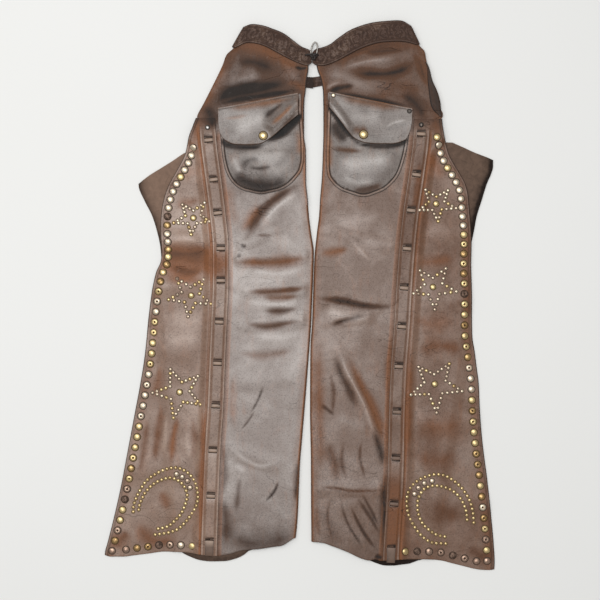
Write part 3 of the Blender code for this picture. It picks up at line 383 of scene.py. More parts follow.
WING_MARKS_LEFT = [
    ([(150, 264), (172, 264), (196, 262), (222, 264), (240, 264)], 17.0, -0.6, 1.4, 0.0, 0.3),
    ([(158, 251), (184, 254), (214, 251)], 8.0, 0.0, 0.7, 0.0, 0.5),
    ([(168, 268), (188, 272), (204, 270)], 5.0, -0.3, 0.5, 0.0, 0.4),
    ([(164, 282), (186, 280), (210, 283)], 8.0, 0.4, 0.5, 0.0, 0.0),
    ([(166, 244), (186, 240), (206, 243)], 7.0, 0.5, 0.1, 0.5, 0.0),
    ([(180, 180), (190, 172), (200, 176)], 8.0, 0.4, 0.4, 0.2, 0.0),
    ([(174, 208), (186, 203), (202, 200)], 6.0, -0.4, 0.5, 0.0, 0.15),
    ([(168, 312), (188, 322), (206, 318)], 12.0, 0.5, 0.0, 0.55, 0.0),
    ([(164, 345), (184, 338), (204, 342)], 10.0, 0.4, 0.0, 0.5, 0.0),
    ([(203, 400), (203, 440), (202, 480), (201, 540)], 3.4, -0.6, 0.9, 0.0, 0.2),
    ([(178, 414), (173, 440), (171, 468)], 3.6, -0.7, 0.9, 0.0, 0.1),
    ([(162, 404), (158, 430), (154, 466)], 4.4, -0.5, 0.6, 0.0, 0.3),
    ([(166, 412), (165, 436), (163, 456)], 3.0, 0.4, 0.0, 0.6, 0.0),
    ([(192, 414), (194, 436), (193, 462)], 3.6, -0.3, 0.4, 0.0, 0.2),
    ([(148, 416), (144, 446), (138, 478)], 4.0, -0.3, 0.4, 0.0, 0.25),
    ([(186, 428), (188, 446), (190, 462)], 6.0, 0.4, 0.0, 0.5, 0.0),
    ([(150, 440), (146, 460), (140, 480)], 5.0, 0.4, 0.2, 0.2, 0.0),
    ([(160, 490), (164, 500), (168, 512)], 6.0, -0.5, 0.5, 0.0, 0.1),
    ([(136, 520), (150, 540), (178, 542)], 8.0, 0.3, 0.5, 0.0, 0.2),
    ([(112, 548), (120, 540), (128, 530)], 8.0, 0.3, 0.6, 0.0, 0.3),
    ([(160, 365), (158, 380), (152, 400)], 6.0, 0.3, 0.5, 0.0, 0.1),
]
WING_MARKS_RIGHT = [
    ([(428, 150), (436, 166), (442, 182)], 8.0, 0.3, 0.5, 0.1, 0.0),
    ([(420, 160), (417, 190), (414, 214)], 3.6, -0.4, 0.8, 0.0, 0.2),
    ([(418, 236), (436, 232), (458, 238)], 9.0, 0.4, 0.1, 0.4, 0.0),
    ([(414, 262), (432, 262), (456, 258)], 7.0, -0.4, 0.5, 0.0, 0.0),
    ([(412, 318), (434, 324), (456, 318)], 10.0, 0.4, 0.4, 0.1, 0.0),
    ([(410, 340), (409, 380), (407, 420), (406, 460)], 5.0, -0.3, 0.7, 0.0, 0.1),
    ([(414, 352), (438, 346), (466, 350)], 8.0, -0.3, 0.5, 0.0, 0.15),
    ([(416, 420), (440, 428), (466, 420)], 14.0, 0.4, 0.35, 0.0, 0.0),
    ([(456, 446), (464, 456), (470, 470)], 10.0, 0.3, 0.0, 0.4, 0.1),
    ([(412, 452), (436, 462), (458, 452)], 9.0, -0.3, 0.3, 0.0, 0.1),
    ([(430, 505), (446, 512), (458, 520)], 14.0, 0.3, 0.2, 0.1, 0.2),
    ([(466, 548), (480, 556), (492, 564)], 9.0, 0.3, 0.4, 0.0, 0.3),
    ([(402, 492), (401, 515), (400, 545)], 4.4, -0.3, 0.9, 0.0, 0.1),
]
POUCH_MARKS_LEFT = [
    # Painted shade on the pouch's lower slope
    ([(228, 172), (250, 184), (270, 186), (292, 178)], 10.0, -0.3, 0.0, 0.0, 0.8),
    ([(247, 167), (260, 168.5), (274, 166)], 2.2, -0.5, 0.0, 0.0, 0.5),
    ([(236, 152), (262, 156), (292, 150)], 8.0, 0.3, 0.0, 0.6, 0.0),
    ([(232, 156), (236, 166), (242, 174)], 4.0, 0.3, 0.0, 0.6, 0.0),
    ([(296, 128), (299, 142), (299, 158)], 4.0, 0.2, 0.6, 0.1, 0.0),
    ([(238, 170), (250, 160), (262, 160)], 5.0, -0.3, 0.0, 0.0, 0.35),
    # Painted shadow under the flap's lower edge, thicker under its curled end
    ([(212, 130), (224, 143), (240, 147), (256, 147), (272, 142)], 3.2, 0.0, 0.0, 0.0, 1.1),
    ([(262, 144), (277, 135), (290, 126), (308, 109)], 4.4, 0.0, 0.0, 0.0, 2.0),
]
POUCH_MARKS_RIGHT = [
    ([(338, 158), (354, 164), (378, 160), (394, 152)], 13.0, 0.4, 0.0, 0.9, 0.0),
    ([(340, 178), (358, 183), (378, 180)], 5.0, 0.3, 0.0, 0.6, 0.0),
    ([(332, 120), (338, 132), (348, 142)], 6.0, -0.3, 0.0, 0.0, 0.75),
    ([(330, 148), (346, 150), (364, 152)], 2.6, -0.4, 0.5, 0.0, 0.4),
    ([(330, 130), (329, 152), (332, 172)], 4.0, 0.2, 0.7, 0.1, 0.0),
    ([(350, 190), (366, 190), (384, 184)], 4.0, -0.2, 0.3, 0.0, 0.5),
    # Painted shadow under the flap's lower edge and along its curled inner edge
    ([(348, 138), (364, 145), (390, 146), (406, 141), (416, 124)], 2.8, 0.0, 0.0, 0.0, 1.1),
    ([(322, 100), (337, 118), (348, 132), (360, 144)], 2.6, 0.0, 0.0, 0.0, 2.0),
]
FLAP_MARKS_LEFT = [
    ([(224, 110), (250, 106), (280, 101), (296, 98)], 4.0, 0.2, 0.75, 0.0, 0.1),
    ([(222, 119), (236, 118), (250, 115)], 1.8, 0.5, 0.5, 0.2, 0.0),
    ([(232, 128), (250, 124), (268, 112)], 11.0, 0.4, 0.0, 0.75, 0.0),
    ([(270, 127), (281, 117), (294, 104)], 2.8, 0.0, 1.0, 0.3, 0.0),
    ([(263, 119), (274, 110), (284, 103)], 2.6, -0.5, 0.0, 0.0, 0.6),
    ([(282, 128), (291, 119), (297, 110)], 3.2, 0.0, 0.2, 0.2, 0.35),
]
FLAP_MARKS_RIGHT = [
    ([(334, 96), (356, 101), (384, 106), (406, 110)], 5.0, 0.1, 0.6, 0.0, 0.1),
    ([(385, 128), (394, 123), (402, 121), (409, 118)], 2.4, 0.9, 0.0, 0.7, 0.0),
    ([(384, 132), (396, 127), (408, 123)], 4.0, -0.3, 0.0, 0.3, 0.2),
    ([(346, 112), (366, 118), (386, 114)], 10.0, 0.3, 0.0, 0.5, 0.0),
    ([(364, 138), (380, 140), (396, 137)], 5.0, 0.2, 0.0, 0.35, 0.2),
    ([(352, 128), (360, 131), (368, 127)], 5.0, 0.0, 0.5, 0.0, 0.2),
    ([(331, 104), (340, 116), (349, 128)], 2.4, 0.0, 0.0, 0.9, 0.0),
]


LEFT.update(
    snap=(263.3, 135.9), top_rivet=(207.6, 127.6), pouch=POUCH_LEFT, flap=FLAP_LEFT, belt=BELT_LEFT,
    strap=STRAP_LEFT, leg_marks=LEG_MARKS_LEFT + HIP_MARKS_LEFT, wing_marks=WING_MARKS_LEFT + HIP_MARKS_LEFT,
    pouch_marks=POUCH_MARKS_LEFT, flap_marks=FLAP_MARKS_LEFT,
)
RIGHT.update(
    snap=(363.5, 134.7), top_rivet=(421.2, 124.9), pouch=POUCH_RIGHT, flap=FLAP_RIGHT, belt=BELT_RIGHT,
    strap=STRAP_RIGHT, leg_marks=LEG_MARKS_RIGHT + HIP_MARKS_RIGHT,
    wing_marks=WING_MARKS_RIGHT + HIP_MARKS_RIGHT, pouch_marks=POUCH_MARKS_RIGHT,
    flap_marks=FLAP_MARKS_RIGHT,
)


# Plan and height to scene points
def place(x, y, z):
    x, y, z = np.broadcast_arrays(np.asarray(x, float), np.asarray(y, float), np.asarray(z, float))
    return np.stack([(x - CENTRE_X) * UNIT, (CENTRE_Y - y) * UNIT, z * MM], -1)


def blend(a, b, t):
    return a + (b - a) * t


def soft(t):
    t = np.clip(t, 0.0, 1.0)
    return t * t * (3 - 2 * t)


# Smooth value of one column of a table whose first column rises
def along(table, at, column=1):
    rows = np.array([(row[0], row[column]) for row in table], float)
    x, v = rows.T
    step = np.diff(x)
    secant = np.diff(v) / step
    before, after = secant[:-1], secant[1:]
    steady = before * after > 0
    inner = np.where(steady, 2 * before * after / np.where(steady, before + after, 1), 0.0)
    slope = np.concatenate([secant[:1], inner, secant[-1:]])
    at = np.clip(np.asarray(at, float), x[0], x[-1])
    k = np.clip(np.searchsorted(x, at, side="right") - 1, 0, len(x) - 2)
    t = (at - x[k]) / step[k]
    rise = (3 - 2 * t) * t * t
    start = t * (1 - t) ** 2 * step[k] * slope[k]
    end = -t * t * (1 - t) * step[k] * slope[k + 1]
    return v[k] + (v[k + 1] - v[k]) * rise + start + end


# Smooth line through points, with a number of steps between each two
def smooth_line(points, steps=6):
    p = np.array(points, float)
    p = np.concatenate([[2 * p[0] - p[1]], p, [2 * p[-1] - p[-2]]])
    t = np.linspace(0, 1, steps, endpoint=False)[:, None]
    line = []
    for a, b, c, d in zip(p, p[1:], p[2:], p[3:]):
        bend = (2 * a - 5 * b + 4 * c - d) * t ** 2 + (3 * b - a - 3 * c + d) * t ** 3
        line.append(0.5 * (2 * b + (c - a) * t + bend))
    line.append(p[-2:-1])
    return np.concatenate(line)


# Distance from plan points to a line, and how far along it the nearest place is
def nearest(x, y, line):
    a, b = line[:-1], line[1:]
    length = np.linalg.norm(b - a, axis=1)
    travel = np.concatenate([[0], np.cumsum(length)])
    best = np.full(np.shape(x), 1e9)
    share = np.zeros(np.shape(x))
    for k in range(len(a)):
        run = b[k] - a[k]
        t = np.clip(((x - a[k, 0]) * run[0] + (y - a[k, 1]) * run[1]) / (run @ run), 0, 1)
        d = np.hypot(x - a[k, 0] - t * run[0], y - a[k, 1] - t * run[1])
        closer = d < best
        best = np.where(closer, d, best)
        share = np.where(closer, (travel[k] + t * length[k]) / travel[-1], share)
    return best, share


def travelled(line):
    return np.concatenate([[0], np.cumsum(np.linalg.norm(np.diff(line, axis=0), axis=1))])


def even_points(points, count):
    line = smooth_line(points, 12)
    travel = travelled(line)
    at = np.linspace(0, travel[-1], count)
    return np.stack([np.interp(at, travel, line[:, k]) for k in range(line.shape[1])], -1)


# Height and the rust, sheen and dark shares that a list of marks gives at plan points
def marked(x, y, marks):
    total = np.zeros((4,) + np.shape(x))
    for points, half, *amounts in marks:
        distance, share = nearest(x, y, smooth_line(points))
        taper = 0.5 + 0.5 * np.sin(math.pi * np.clip(share, 0, 1)) ** 0.7
        wide = half * taper * (1.5 + 0.2 * np.sin(share * 9 + points[0][0]))
        stray = 0.05 * half * (np.sin(0.23 * x + 0.11 * y) + np.sin(0.29 * y - 0.16 * x + half))
        fade = soft(share / 0.3) * soft((1 - share) / 0.3)
        weight = np.clip(1 - (distance + stray) / wide, 0, 1) ** 1.45 * fade
        for k, amount in enumerate(amounts):
            total[k] += weight * amount
    return total[0], np.clip(total[1], 0, 1), np.clip(total[2], 0, 1), np.clip(total[3], 0, 1)


# Slow swell of the hide in millimetres
def swell(x, y, phase):
    slow = np.sin(x * 0.071 + y * 0.043 + phase) * np.sin(y * 0.037 - x * 0.025 + phase * 2.1)
    quick = np.sin(x * 0.19 - y * 0.11 + phase * 3.0) * np.sin(y * 0.16 + x * 0.06 + phase)
    return 0.42 * slow + 0.2 * quick


def lines_near(low, high, count, edge):
    inside = np.linspace(low, high, count)
    return np.unique(np.concatenate([[low, low + edge], inside[1:-1], [high - edge, high]]))


def write_marks(mesh, marks):
    for key, values in marks.items():
        values = np.ascontiguousarray(values, np.float32)
        mesh.attributes.new(key, "FLOAT", "POINT").data.foreach_set("value", values)


def smooth_faces(mesh, sharp_over=None):
    mesh.polygons.foreach_set("use_smooth", np.ones(len(mesh.polygons), bool))
    if sharp_over is not None:
        mesh.set_sharp_from_angle(angle=math.radians(sharp_over))


def make_mesh(name, points, faces, marks):
    mesh = bpy.data.meshes.new(name)
    mesh.from_pydata(points.tolist(), [], faces.tolist())
    write_marks(mesh, marks)
    smooth_faces(mesh, 55)
    mesh.update()
    return mesh


def make_piece(name, mesh, material):
    item = bpy.data.objects.new(name, mesh)
    bpy.context.scene.collection.objects.link(item)
    if material is not None:
        mesh.materials.append(material)
    return item


def keep_result(item):
    view = bpy.context.evaluated_depsgraph_get()
    result = item.evaluated_get(view)
    mesh = bpy.data.meshes.new_from_object(result, preserve_all_data_layers=True, depsgraph=view)
    item.modifiers.clear()
    item.data = mesh
    return item


# Closed wall between two grids of points, with softened rims
def wall(name, outer, inner, marks, keep=None, rims=(True, True, True, True)):
    outer = outer.copy()
    edges = (np.s_[0, :], np.s_[-1, :], np.s_[:, 0], np.s_[:, -1])
    for edge, wanted in zip(edges, rims):
        if wanted:
            outer[edge] = blend(outer[edge], inner[edge], 0.28)
    rows, cols = outer.shape[:2]
    points = np.concatenate([outer.reshape(-1, 3), inner.reshape(-1, 3)])
    under = rows * cols
    index = np.arange(under).reshape(rows, cols)
    a, b, c, d = index[:-1, :-1], index[:-1, 1:], index[1:, 1:], index[1:, :-1]
    if keep is None:
        keep = np.ones((rows - 1, cols - 1), bool)
    around = np.pad(keep, 1)
    faces = [np.stack([a, b, c, d], -1)[keep], np.stack([d, c, b, a], -1)[keep] + under]
    sides = (
        (around[:-2, 1:-1], b, a), (around[2:, 1:-1], d, c), (around[1:-1, :-2], a, d),
        (around[1:-1, 2:], c, b),
    )
    for neighbour, first, second in sides:
        open_side = keep & ~neighbour
        faces.append(np.stack([first, second, second + under, first + under], -1)[open_side])
    faces = np.concatenate(faces)
    used, faces = np.unique(faces, return_inverse=True)
    faces = faces.reshape(-1, 4)
    points = points[used]
    p = points[faces]
    volume = np.einsum("ij,ij->i", p[:, 0], np.cross(p[:, 1], p[:, 2]) + np.cross(p[:, 2], p[:, 3])).sum()
    if volume < 0:
        faces = faces[:, ::-1]
    values = {key: np.concatenate([v.ravel(), w.ravel()])[used] for key, (v, w) in marks.items()}
    return make_mesh(name, points, faces, values)


def both(upper, lower=0.0):
    return upper, np.broadcast_to(np.asarray(lower, float), upper.shape)


def wear_marks(rust, sheen, dark, inner_dark=0.0):
    return {
        "rust": both(rust), "sheen": both(sheen), "dark": both(dark, inner_dark),
        "flesh": both(rust * 0, 1.0),
    }


# Shader values: an expression on them adds Math nodes
class Value:
    def __init__(self, finish, socket):
        self.finish = finish
        self.socket = socket

    def __add__(self, other):
        return self.finish.math("ADD", self, other)

    def __sub__(self, other):
        return self.finish.math("SUBTRACT", self, other)

    def __rsub__(self, other):
        return self.finish.math("SUBTRACT", other, self)

    def __mul__(self, other):
        return self.finish.math("MULTIPLY", self, other)

    def __truediv__(self, other):
        return self.finish.math("DIVIDE", self, other)

    def __pow__(self, other):
        return self.finish.math("POWER", self, other)

    __radd__ = __add__
    __rmul__ = __mul__


class Finish:
    def __init__(self, name):
        self.material = bpy.data.materials.new(name)
        self.material.use_nodes = True
        self.tree = self.material.node_tree
        self.shader = self.tree.nodes["Principled BSDF"]
        self.spot = self.node("ShaderNodeTexCoord").outputs["Object"]

    def node(self, kind, settings=None, inputs=None):
        node = self.tree.nodes.new(kind)
        for key, value in (settings or {}).items():
            setattr(node, key, value)
        for key, value in (inputs or {}).items():
            self.feed(node.inputs[key], value)
        return node

    def feed(self, socket, value):
        value = value.socket if isinstance(value, Value) else value
        if isinstance(value, bpy.types.NodeSocket):
            self.tree.links.new(value, socket)
        else:
            socket.default_value = value

    def math(self, operation, *values):
        node = self.node("ShaderNodeMath", {"operation": operation}, dict(enumerate(values)))
        return Value(self, node.outputs[0])

    def clamp(self, value):
        return Value(self, self.node("ShaderNodeClamp", None, {0: value}).outputs[0])

    def mark(self, name):
        return Value(self, self.node("ShaderNodeAttribute", {"attribute_name": name}).outputs["Fac"])

    def stretched(self, scale, turn=0.0):
        inputs = {"Vector": self.spot, "Scale": scale, "Rotation": (0, 0, turn)}
        return self.node("ShaderNodeMapping", {"vector_type": "POINT"}, inputs).outputs[0]

    # Object coordinates pushed about by noise, so that cells lose their straight edges
    def bent(self, scale, bend_scale, amount):
        inputs = {"Vector": self.spot, "Scale": bend_scale, "Detail": 2.0}
        noise = self.node("ShaderNodeTexNoise", None, inputs).outputs["Color"]
        inputs = {0: noise, 1: (amount,) * 3, 2: self.spot}
        pushed = self.node("ShaderNodeVectorMath", {"operation": "MULTIPLY_ADD"}, inputs).outputs[0]
        inputs = {0: pushed, "Scale": scale}
        return self.node("ShaderNodeVectorMath", {"operation": "SCALE"}, inputs).outputs[0]

    def noise(self, scale, detail=2.0, rough=0.5, bend=0.0, at=None):
        inputs = {
            "Vector": at or self.spot, "Scale": scale, "Detail": detail, "Roughness": rough,
            "Distortion": bend,
        }
        return Value(self, self.node("ShaderNodeTexNoise", None, inputs).outputs[0])

    def cells(self, scale, feature="F1", at=None):
        inputs = {"Vector": at or self.spot, "Scale": scale}
        node = self.node("ShaderNodeTexVoronoi", {"feature": feature}, inputs)
        return Value(self, node.outputs["Distance"])

    def ramp(self, value, low, high):
        inputs = {"Value": value, "From Min": low, "From Max": high}
        node = self.node("ShaderNodeMapRange", {"interpolation_type": "SMOOTHSTEP"}, inputs)
        return Value(self, node.outputs[0])

    def mix(self, a, b, share):
        node = self.node("ShaderNodeMix", {"data_type": "RGBA"}, {0: share, 6: a, 7: b})
        return node.outputs[2]

    def bump(self, height, distance, before=None, strength=1.0):
        inputs = {"Height": height, "Distance": distance, "Strength": strength}
        if before is not None:
            inputs["Normal"] = before
        return self.node("ShaderNodeBump", None, inputs).outputs[0]

    def wear(self, **sockets):
        for key, value in sockets.items():
            self.feed(self.shader.inputs[key.replace("_", " ")], value)
        return self.material


def paint(red, green, blue):
    parts = [c / 255 for c in (red, green, blue)]
    return tuple(c / 12.92 if c <= 0.04045 else ((c + 0.055) / 1.055) ** 2.4 for c in parts) + (1.0,)


# Waxed and worn hide: dark brown body, a painted grey sheen in the base colour with real coat gloss on what
# stands proud, rust where it rubs, flesh side
def worn_leather(name, flat, worn_and_sheen, rust, dark, flesh, sheen_amount, crazed=0.2):
    f = Finish(name)
    down = f.node("ShaderNodeSeparateXYZ", None, {0: f.spot}).outputs[1]
    low = f.ramp(Value(f, down), 0.1, -0.35)
    rusty, shiny, deep, inside = f.mark("rust"), f.mark("sheen"), f.mark("dark"), f.mark("flesh")
    cloud = f.noise(8.0, 4.0, 0.6, 0.6)
    patch = f.noise(30.0, 5.0, 0.62, 0.8)
    mottle = f.noise(115.0, 4.0, 0.66, 0.5)
    speck = f.noise(430.0, 3.0, 0.6)
    streak = f.noise(1.0, 4.0, 0.6, 0.4, f.stretched((95.0, 24.0, 90.0), 0.12))
    grain = f.cells(820.0)
    crackle = f.cells(1.0, "DISTANCE_TO_EDGE", f.bent(150.0, 46.0, 0.012))
    crackle = (1 - f.ramp(crackle, 0.0, 0.1)) * f.ramp(cloud + patch * 0.4, 0.56, 0.8)
    pulled = f.math("ABSOLUTE", f.noise(1.0, 3.0, 0.62, 0.5, f.stretched((150.0, 26.0, 90.0), 0.16)) - 0.5)
    pulled = (1 - f.ramp(pulled, 0.0, 0.035)) * f.ramp(patch, 0.42, 0.62)
    crackle = f.clamp(crackle + pulled * 0.8) * crazed * (low * 0.85 + 0.15)
    hair = f.math("ABSOLUTE", f.noise(1.0, 1.0, 0.4, 0.2, f.stretched((17.0, 44.0, 20.0), 0.75)) - 0.52)
    hair = (1 - f.ramp(hair, 0.0, 0.006)) * f.ramp(f.noise(17.0, 1.0), 0.56, 0.6)
    scuff = f.math("ABSOLUTE", f.noise(1.0, 1.0, 0.4, 0.3, f.stretched((60.0, 15.0, 20.0), -0.5)) - 0.47)
    scuff = (1 - f.ramp(scuff, 0.0, 0.007)) * f.ramp(f.noise(17.0, 1.0), 0.55, 0.6)
    broad = f.ramp(cloud * 0.75 + patch * 0.35, 0.44, 0.72)
    shine = f.clamp(sheen_amount * (0.62 + broad * 0.7) + shiny * 0.7 - rusty * 0.42 - deep * 0.75)
    tan = f.clamp(rusty * (0.6 + patch * 0.6) + f.ramp(patch * 0.4 + streak * 0.6, 0.5, 0.7) * 0.24)
    # Painted sheen: shine mixes the base colour towards the grey sheen colour, besides the real coat gloss
    colour = f.mix(paint(*flat), paint(*worn_and_sheen), f.clamp(shine * 1.05 + (mottle - 0.5) * 0.4))
    colour = f.mix(colour, paint(*rust), tan)
    shade = f.clamp(deep * (0.82 + patch * 0.36) + crackle + hair * 0.35 + f.ramp(mottle, 0.6, 0.8) * 0.16)
    colour = f.mix(colour, paint(*dark), shade)
    colour = f.mix(colour, paint(*dark), f.ramp(speck, 0.5, 0.68) * 0.34)
    suede = f.clamp(mottle * 0.5 + patch * 0.3 - 0.14 + deep * 0.9)
    colour = f.mix(colour, f.mix(paint(*flesh), paint(*dark), suede), inside)
    rough = 0.5 + 0.14 * (patch - 0.5) - 0.1 * shine + 0.12 * deep + 0.3 * inside
    coat = f.clamp(shine * 0.85 - f.ramp(speck, 0.48, 0.66) * 0.16 + scuff * 0.3) * (1 - inside)
    relief = f.bump(f.ramp(grain, 0.0, 0.7) + speck * 0.9, 0.0003, None, 0.5)
    relief = f.bump(mottle * 0.6 + streak, 0.0009, relief, 0.5)
    relief = f.bump(1 - crackle - hair, 0.0006, relief, 0.7)
    f.feed(f.shader.inputs["Specular IOR Level"], 0.3)
    return f.wear(
        Base_Color=colour, Roughness=f.clamp(rough), Coat_Weight=coat, Coat_Roughness=0.34, Normal=relief,
    )


# Tooled belt: leafy scrolls and flower heads between plain border lines, dark in the ground
def tooled_leather(name, flat, raised, dark, flesh):
    f = Finish(name)
    run, cross, inside, deep = f.mark("run"), f.mark("cross"), f.mark("flesh"), f.mark("dark")
    cell = run / SCROLL_LENGTH
    number = f.math("FLOOR", cell)
    turn = f.math("PINGPONG", number, 1.0) * 2 - 1
    wobble = f.noise(110.0, 3.0) - 0.5
    second = f.noise(170.0, 3.0, 0.5, 0.8) - 0.5
    a = (cell - number - 0.5) * 24.5 + wobble * 19.0
    b = cross * 15.5 * turn + second * 19.0
    radius = f.math("SQRT", a * a + b * b)
    angle = f.math("ARCTAN2", b, a)
    scroll = f.math("SINE", angle * 2.0 + radius * 0.85)
    veins = f.math("SINE", angle * 7.0 + radius * 1.3)
    petals = f.math("COSINE", angle * 5.0) * 1.2 + 3.6
    flower = 1 - f.ramp(radius - petals, -0.5, 0.6)
    leaf = f.ramp(scroll, -0.25, 0.6) * (0.75 + 0.25 * f.ramp(veins, -0.2, 0.6))
    petal_edge = f.ramp(f.math("COSINE", angle * 5.0), -0.8, 0.2)
    carved = f.clamp(leaf * (1 - flower) + flower * (0.7 + 0.3 * petal_edge))
    edge = f.math("ABSOLUTE", cross)
    band = 1 - f.ramp(edge, 0.66, 0.72)
    line = 1 - f.ramp(f.math("ABSOLUTE", edge - 0.76), 0.02, 0.06)
    form = f.clamp(carved * band + (1 - band) * 0.8 - line)
    cloud = f.noise(26.0, 4.0, 0.6, 0.6)
    mottle = f.noise(230.0, 3.0, 0.6)
    worn_and_sheen = f.ramp(cloud + 0.4 * mottle, 0.66, 0.86)
    colour = f.mix(paint(*dark), paint(*flat), f.clamp(form * 0.36 + mottle * 0.9 - 0.05))
    colour = f.mix(colour, paint(*raised), (form * 0.45 + 0.55) * worn_and_sheen * 0.34)
    colour = f.mix(colour, paint(*dark), f.clamp(f.ramp(edge, 0.86, 1.0) * 0.8 + deep))
    colour = f.mix(colour, paint(*flesh), inside)
    relief = f.bump(form + cloud * 0.5, 0.0009, None, 0.6)
    relief = f.bump(f.cells(1300.0) * (1 - form) + mottle * 0.5, 0.0004, relief, 0.6)
    rough = 0.46 + 0.16 * (1 - form) + 0.1 * cloud + 0.2 * inside
    f.feed(f.shader.inputs["Specular IOR Level"], 0.3)
    coat = f.clamp(form * worn_and_sheen * 0.26 - deep * 0.4) * (1 - inside)
    return f.wear(
        Base_Color=colour, Roughness=f.clamp(rough), Coat_Weight=coat, Coat_Roughness=0.38, Normal=relief,
    )


# Lace strip: lighter worn hide, tan on top where the wing holds it up
def lace_hide(name, flat, tan, dark):
    f = Finish(name)
    cloud = f.noise(70.0, 4.0, 0.65, 0.5)
    fibre = f.noise(1.0, 3.0, 0.6, 0.2, f.stretched((260.0, 900.0, 260.0)))
    colour = f.mix(paint(*flat), paint(*tan), f.clamp(f.mark("tan") * (0.4 + cloud)))
    colour = f.mix(colour, paint(*dark), f.clamp(f.mark("dark") + f.ramp(cloud, 0.5, 0.75) * 0.4))
    relief = f.bump(f.cells(900.0) + fibre * 0.6, 0.0002, None, 0.5)
    coat = f.clamp(f.mark("tan") * 0.35 - f.mark("dark") * 0.3)
    rough = f.clamp(0.46 + 0.2 * cloud)
    return f.wear(Base_Color=colour, Roughness=rough, Coat_Weight=coat, Coat_Roughness=0.35, Normal=relief)


# Old plated and brass heads: bright on the crown, a dark ring round the foot painted as the shadow round each
# head, spotted with tarnish
def worn_metal(name, bright, dull, tarnish, rough):
    f = Finish(name)
    rim, tone = f.mark("rim"), f.mark("tone")
    cloud = f.noise(260.0, 3.0, 0.6, 0.4)
    fine = f.noise(1500.0, 2.0)
    colour = f.mix(paint(*bright), paint(*dull), f.clamp(tone * 0.9 + f.ramp(cloud, 0.4, 0.7) * 0.35))
    spotted = f.ramp(cloud + tone * 0.12, 0.6, 0.74) * 0.55 + f.ramp(tone, 0.95, 1.3) * 0.55
    # Painted shadow round the foot and in dimples, plus real tarnish spots
    foot_shadow_and_tarnish = f.clamp(f.ramp(rim, 0.74, 0.84) + spotted)
    colour = f.mix(colour, paint(*tarnish), foot_shadow_and_tarnish)
    relief = f.bump(cloud + fine * 0.25, 0.0003, None, 0.4)
    metal = 1 - foot_shadow_and_tarnish * 0.8
    rough = f.clamp(rough + 0.3 * foot_shadow_and_tarnish + 0.12 * cloud)
    return f.wear(Base_Color=colour, Metallic=metal, Roughness=rough, Normal=relief)


def sewing_thread(name, colour):
    f = Finish(name)
    twist = f.noise(1.0, 2.0, 0.5, 0.0, f.stretched((2400.0, 900.0, 900.0)))
    shade = f.mix(paint(*colour), paint(30, 22, 18), f.ramp(twist, 0.4, 0.7) * 0.5)
    return f.wear(Base_Color=shade, Roughness=0.75, Normal=f.bump(twist, 0.0002, None, 0.6))


def floor_finish(name):
    f = Finish(name)
    tone = f.mix(paint(243, 243, 241), paint(239, 239, 236), f.noise(1.4, 3.0, 0.5))
    return f.wear(Base_Color=tone, Roughness=0.85, Normal=f.bump(f.noise(700.0, 2.0), 0.0002, None, 0.2))


# The lace band, its grooves and bridges, as seen across and down the leg
def bridge_share(side, y, reach):
    share = np.zeros(np.shape(y))
    for at in side["bridges"]:
        share = np.maximum(share, soft(1 - np.abs(y - at) / reach))
    return share


# The hips are darker, down to a little below the top of the wings
def hip_shade(y):
    return 0.46 * soft((150 - y) / 48)


# Wing: heights of its under and upper face, with the marks on its upper face
def wing_level(side, y, distance, leg_edge, back_edge):
    over_leg = leg_edge + 2.6 + 12 * soft((side["wing_top"] + 36 - y) / 22)
    low = WING_OVER_BACK * (1 - np.clip((distance - back_edge - 2.5) / 10.5, 0, 1))
    t = np.clip((distance - over_leg) / 7.8, 0, 1)
    level = blend(WING_OVER_FRONT, low, soft(t))
    lift = np.zeros(np.shape(y))
    for at, half, height in side["waves"]:
        lift = np.maximum(lift, height * soft(1 - np.abs(y - at) / half))
    return level + lift * soft((distance - over_leg - 6) / 14)


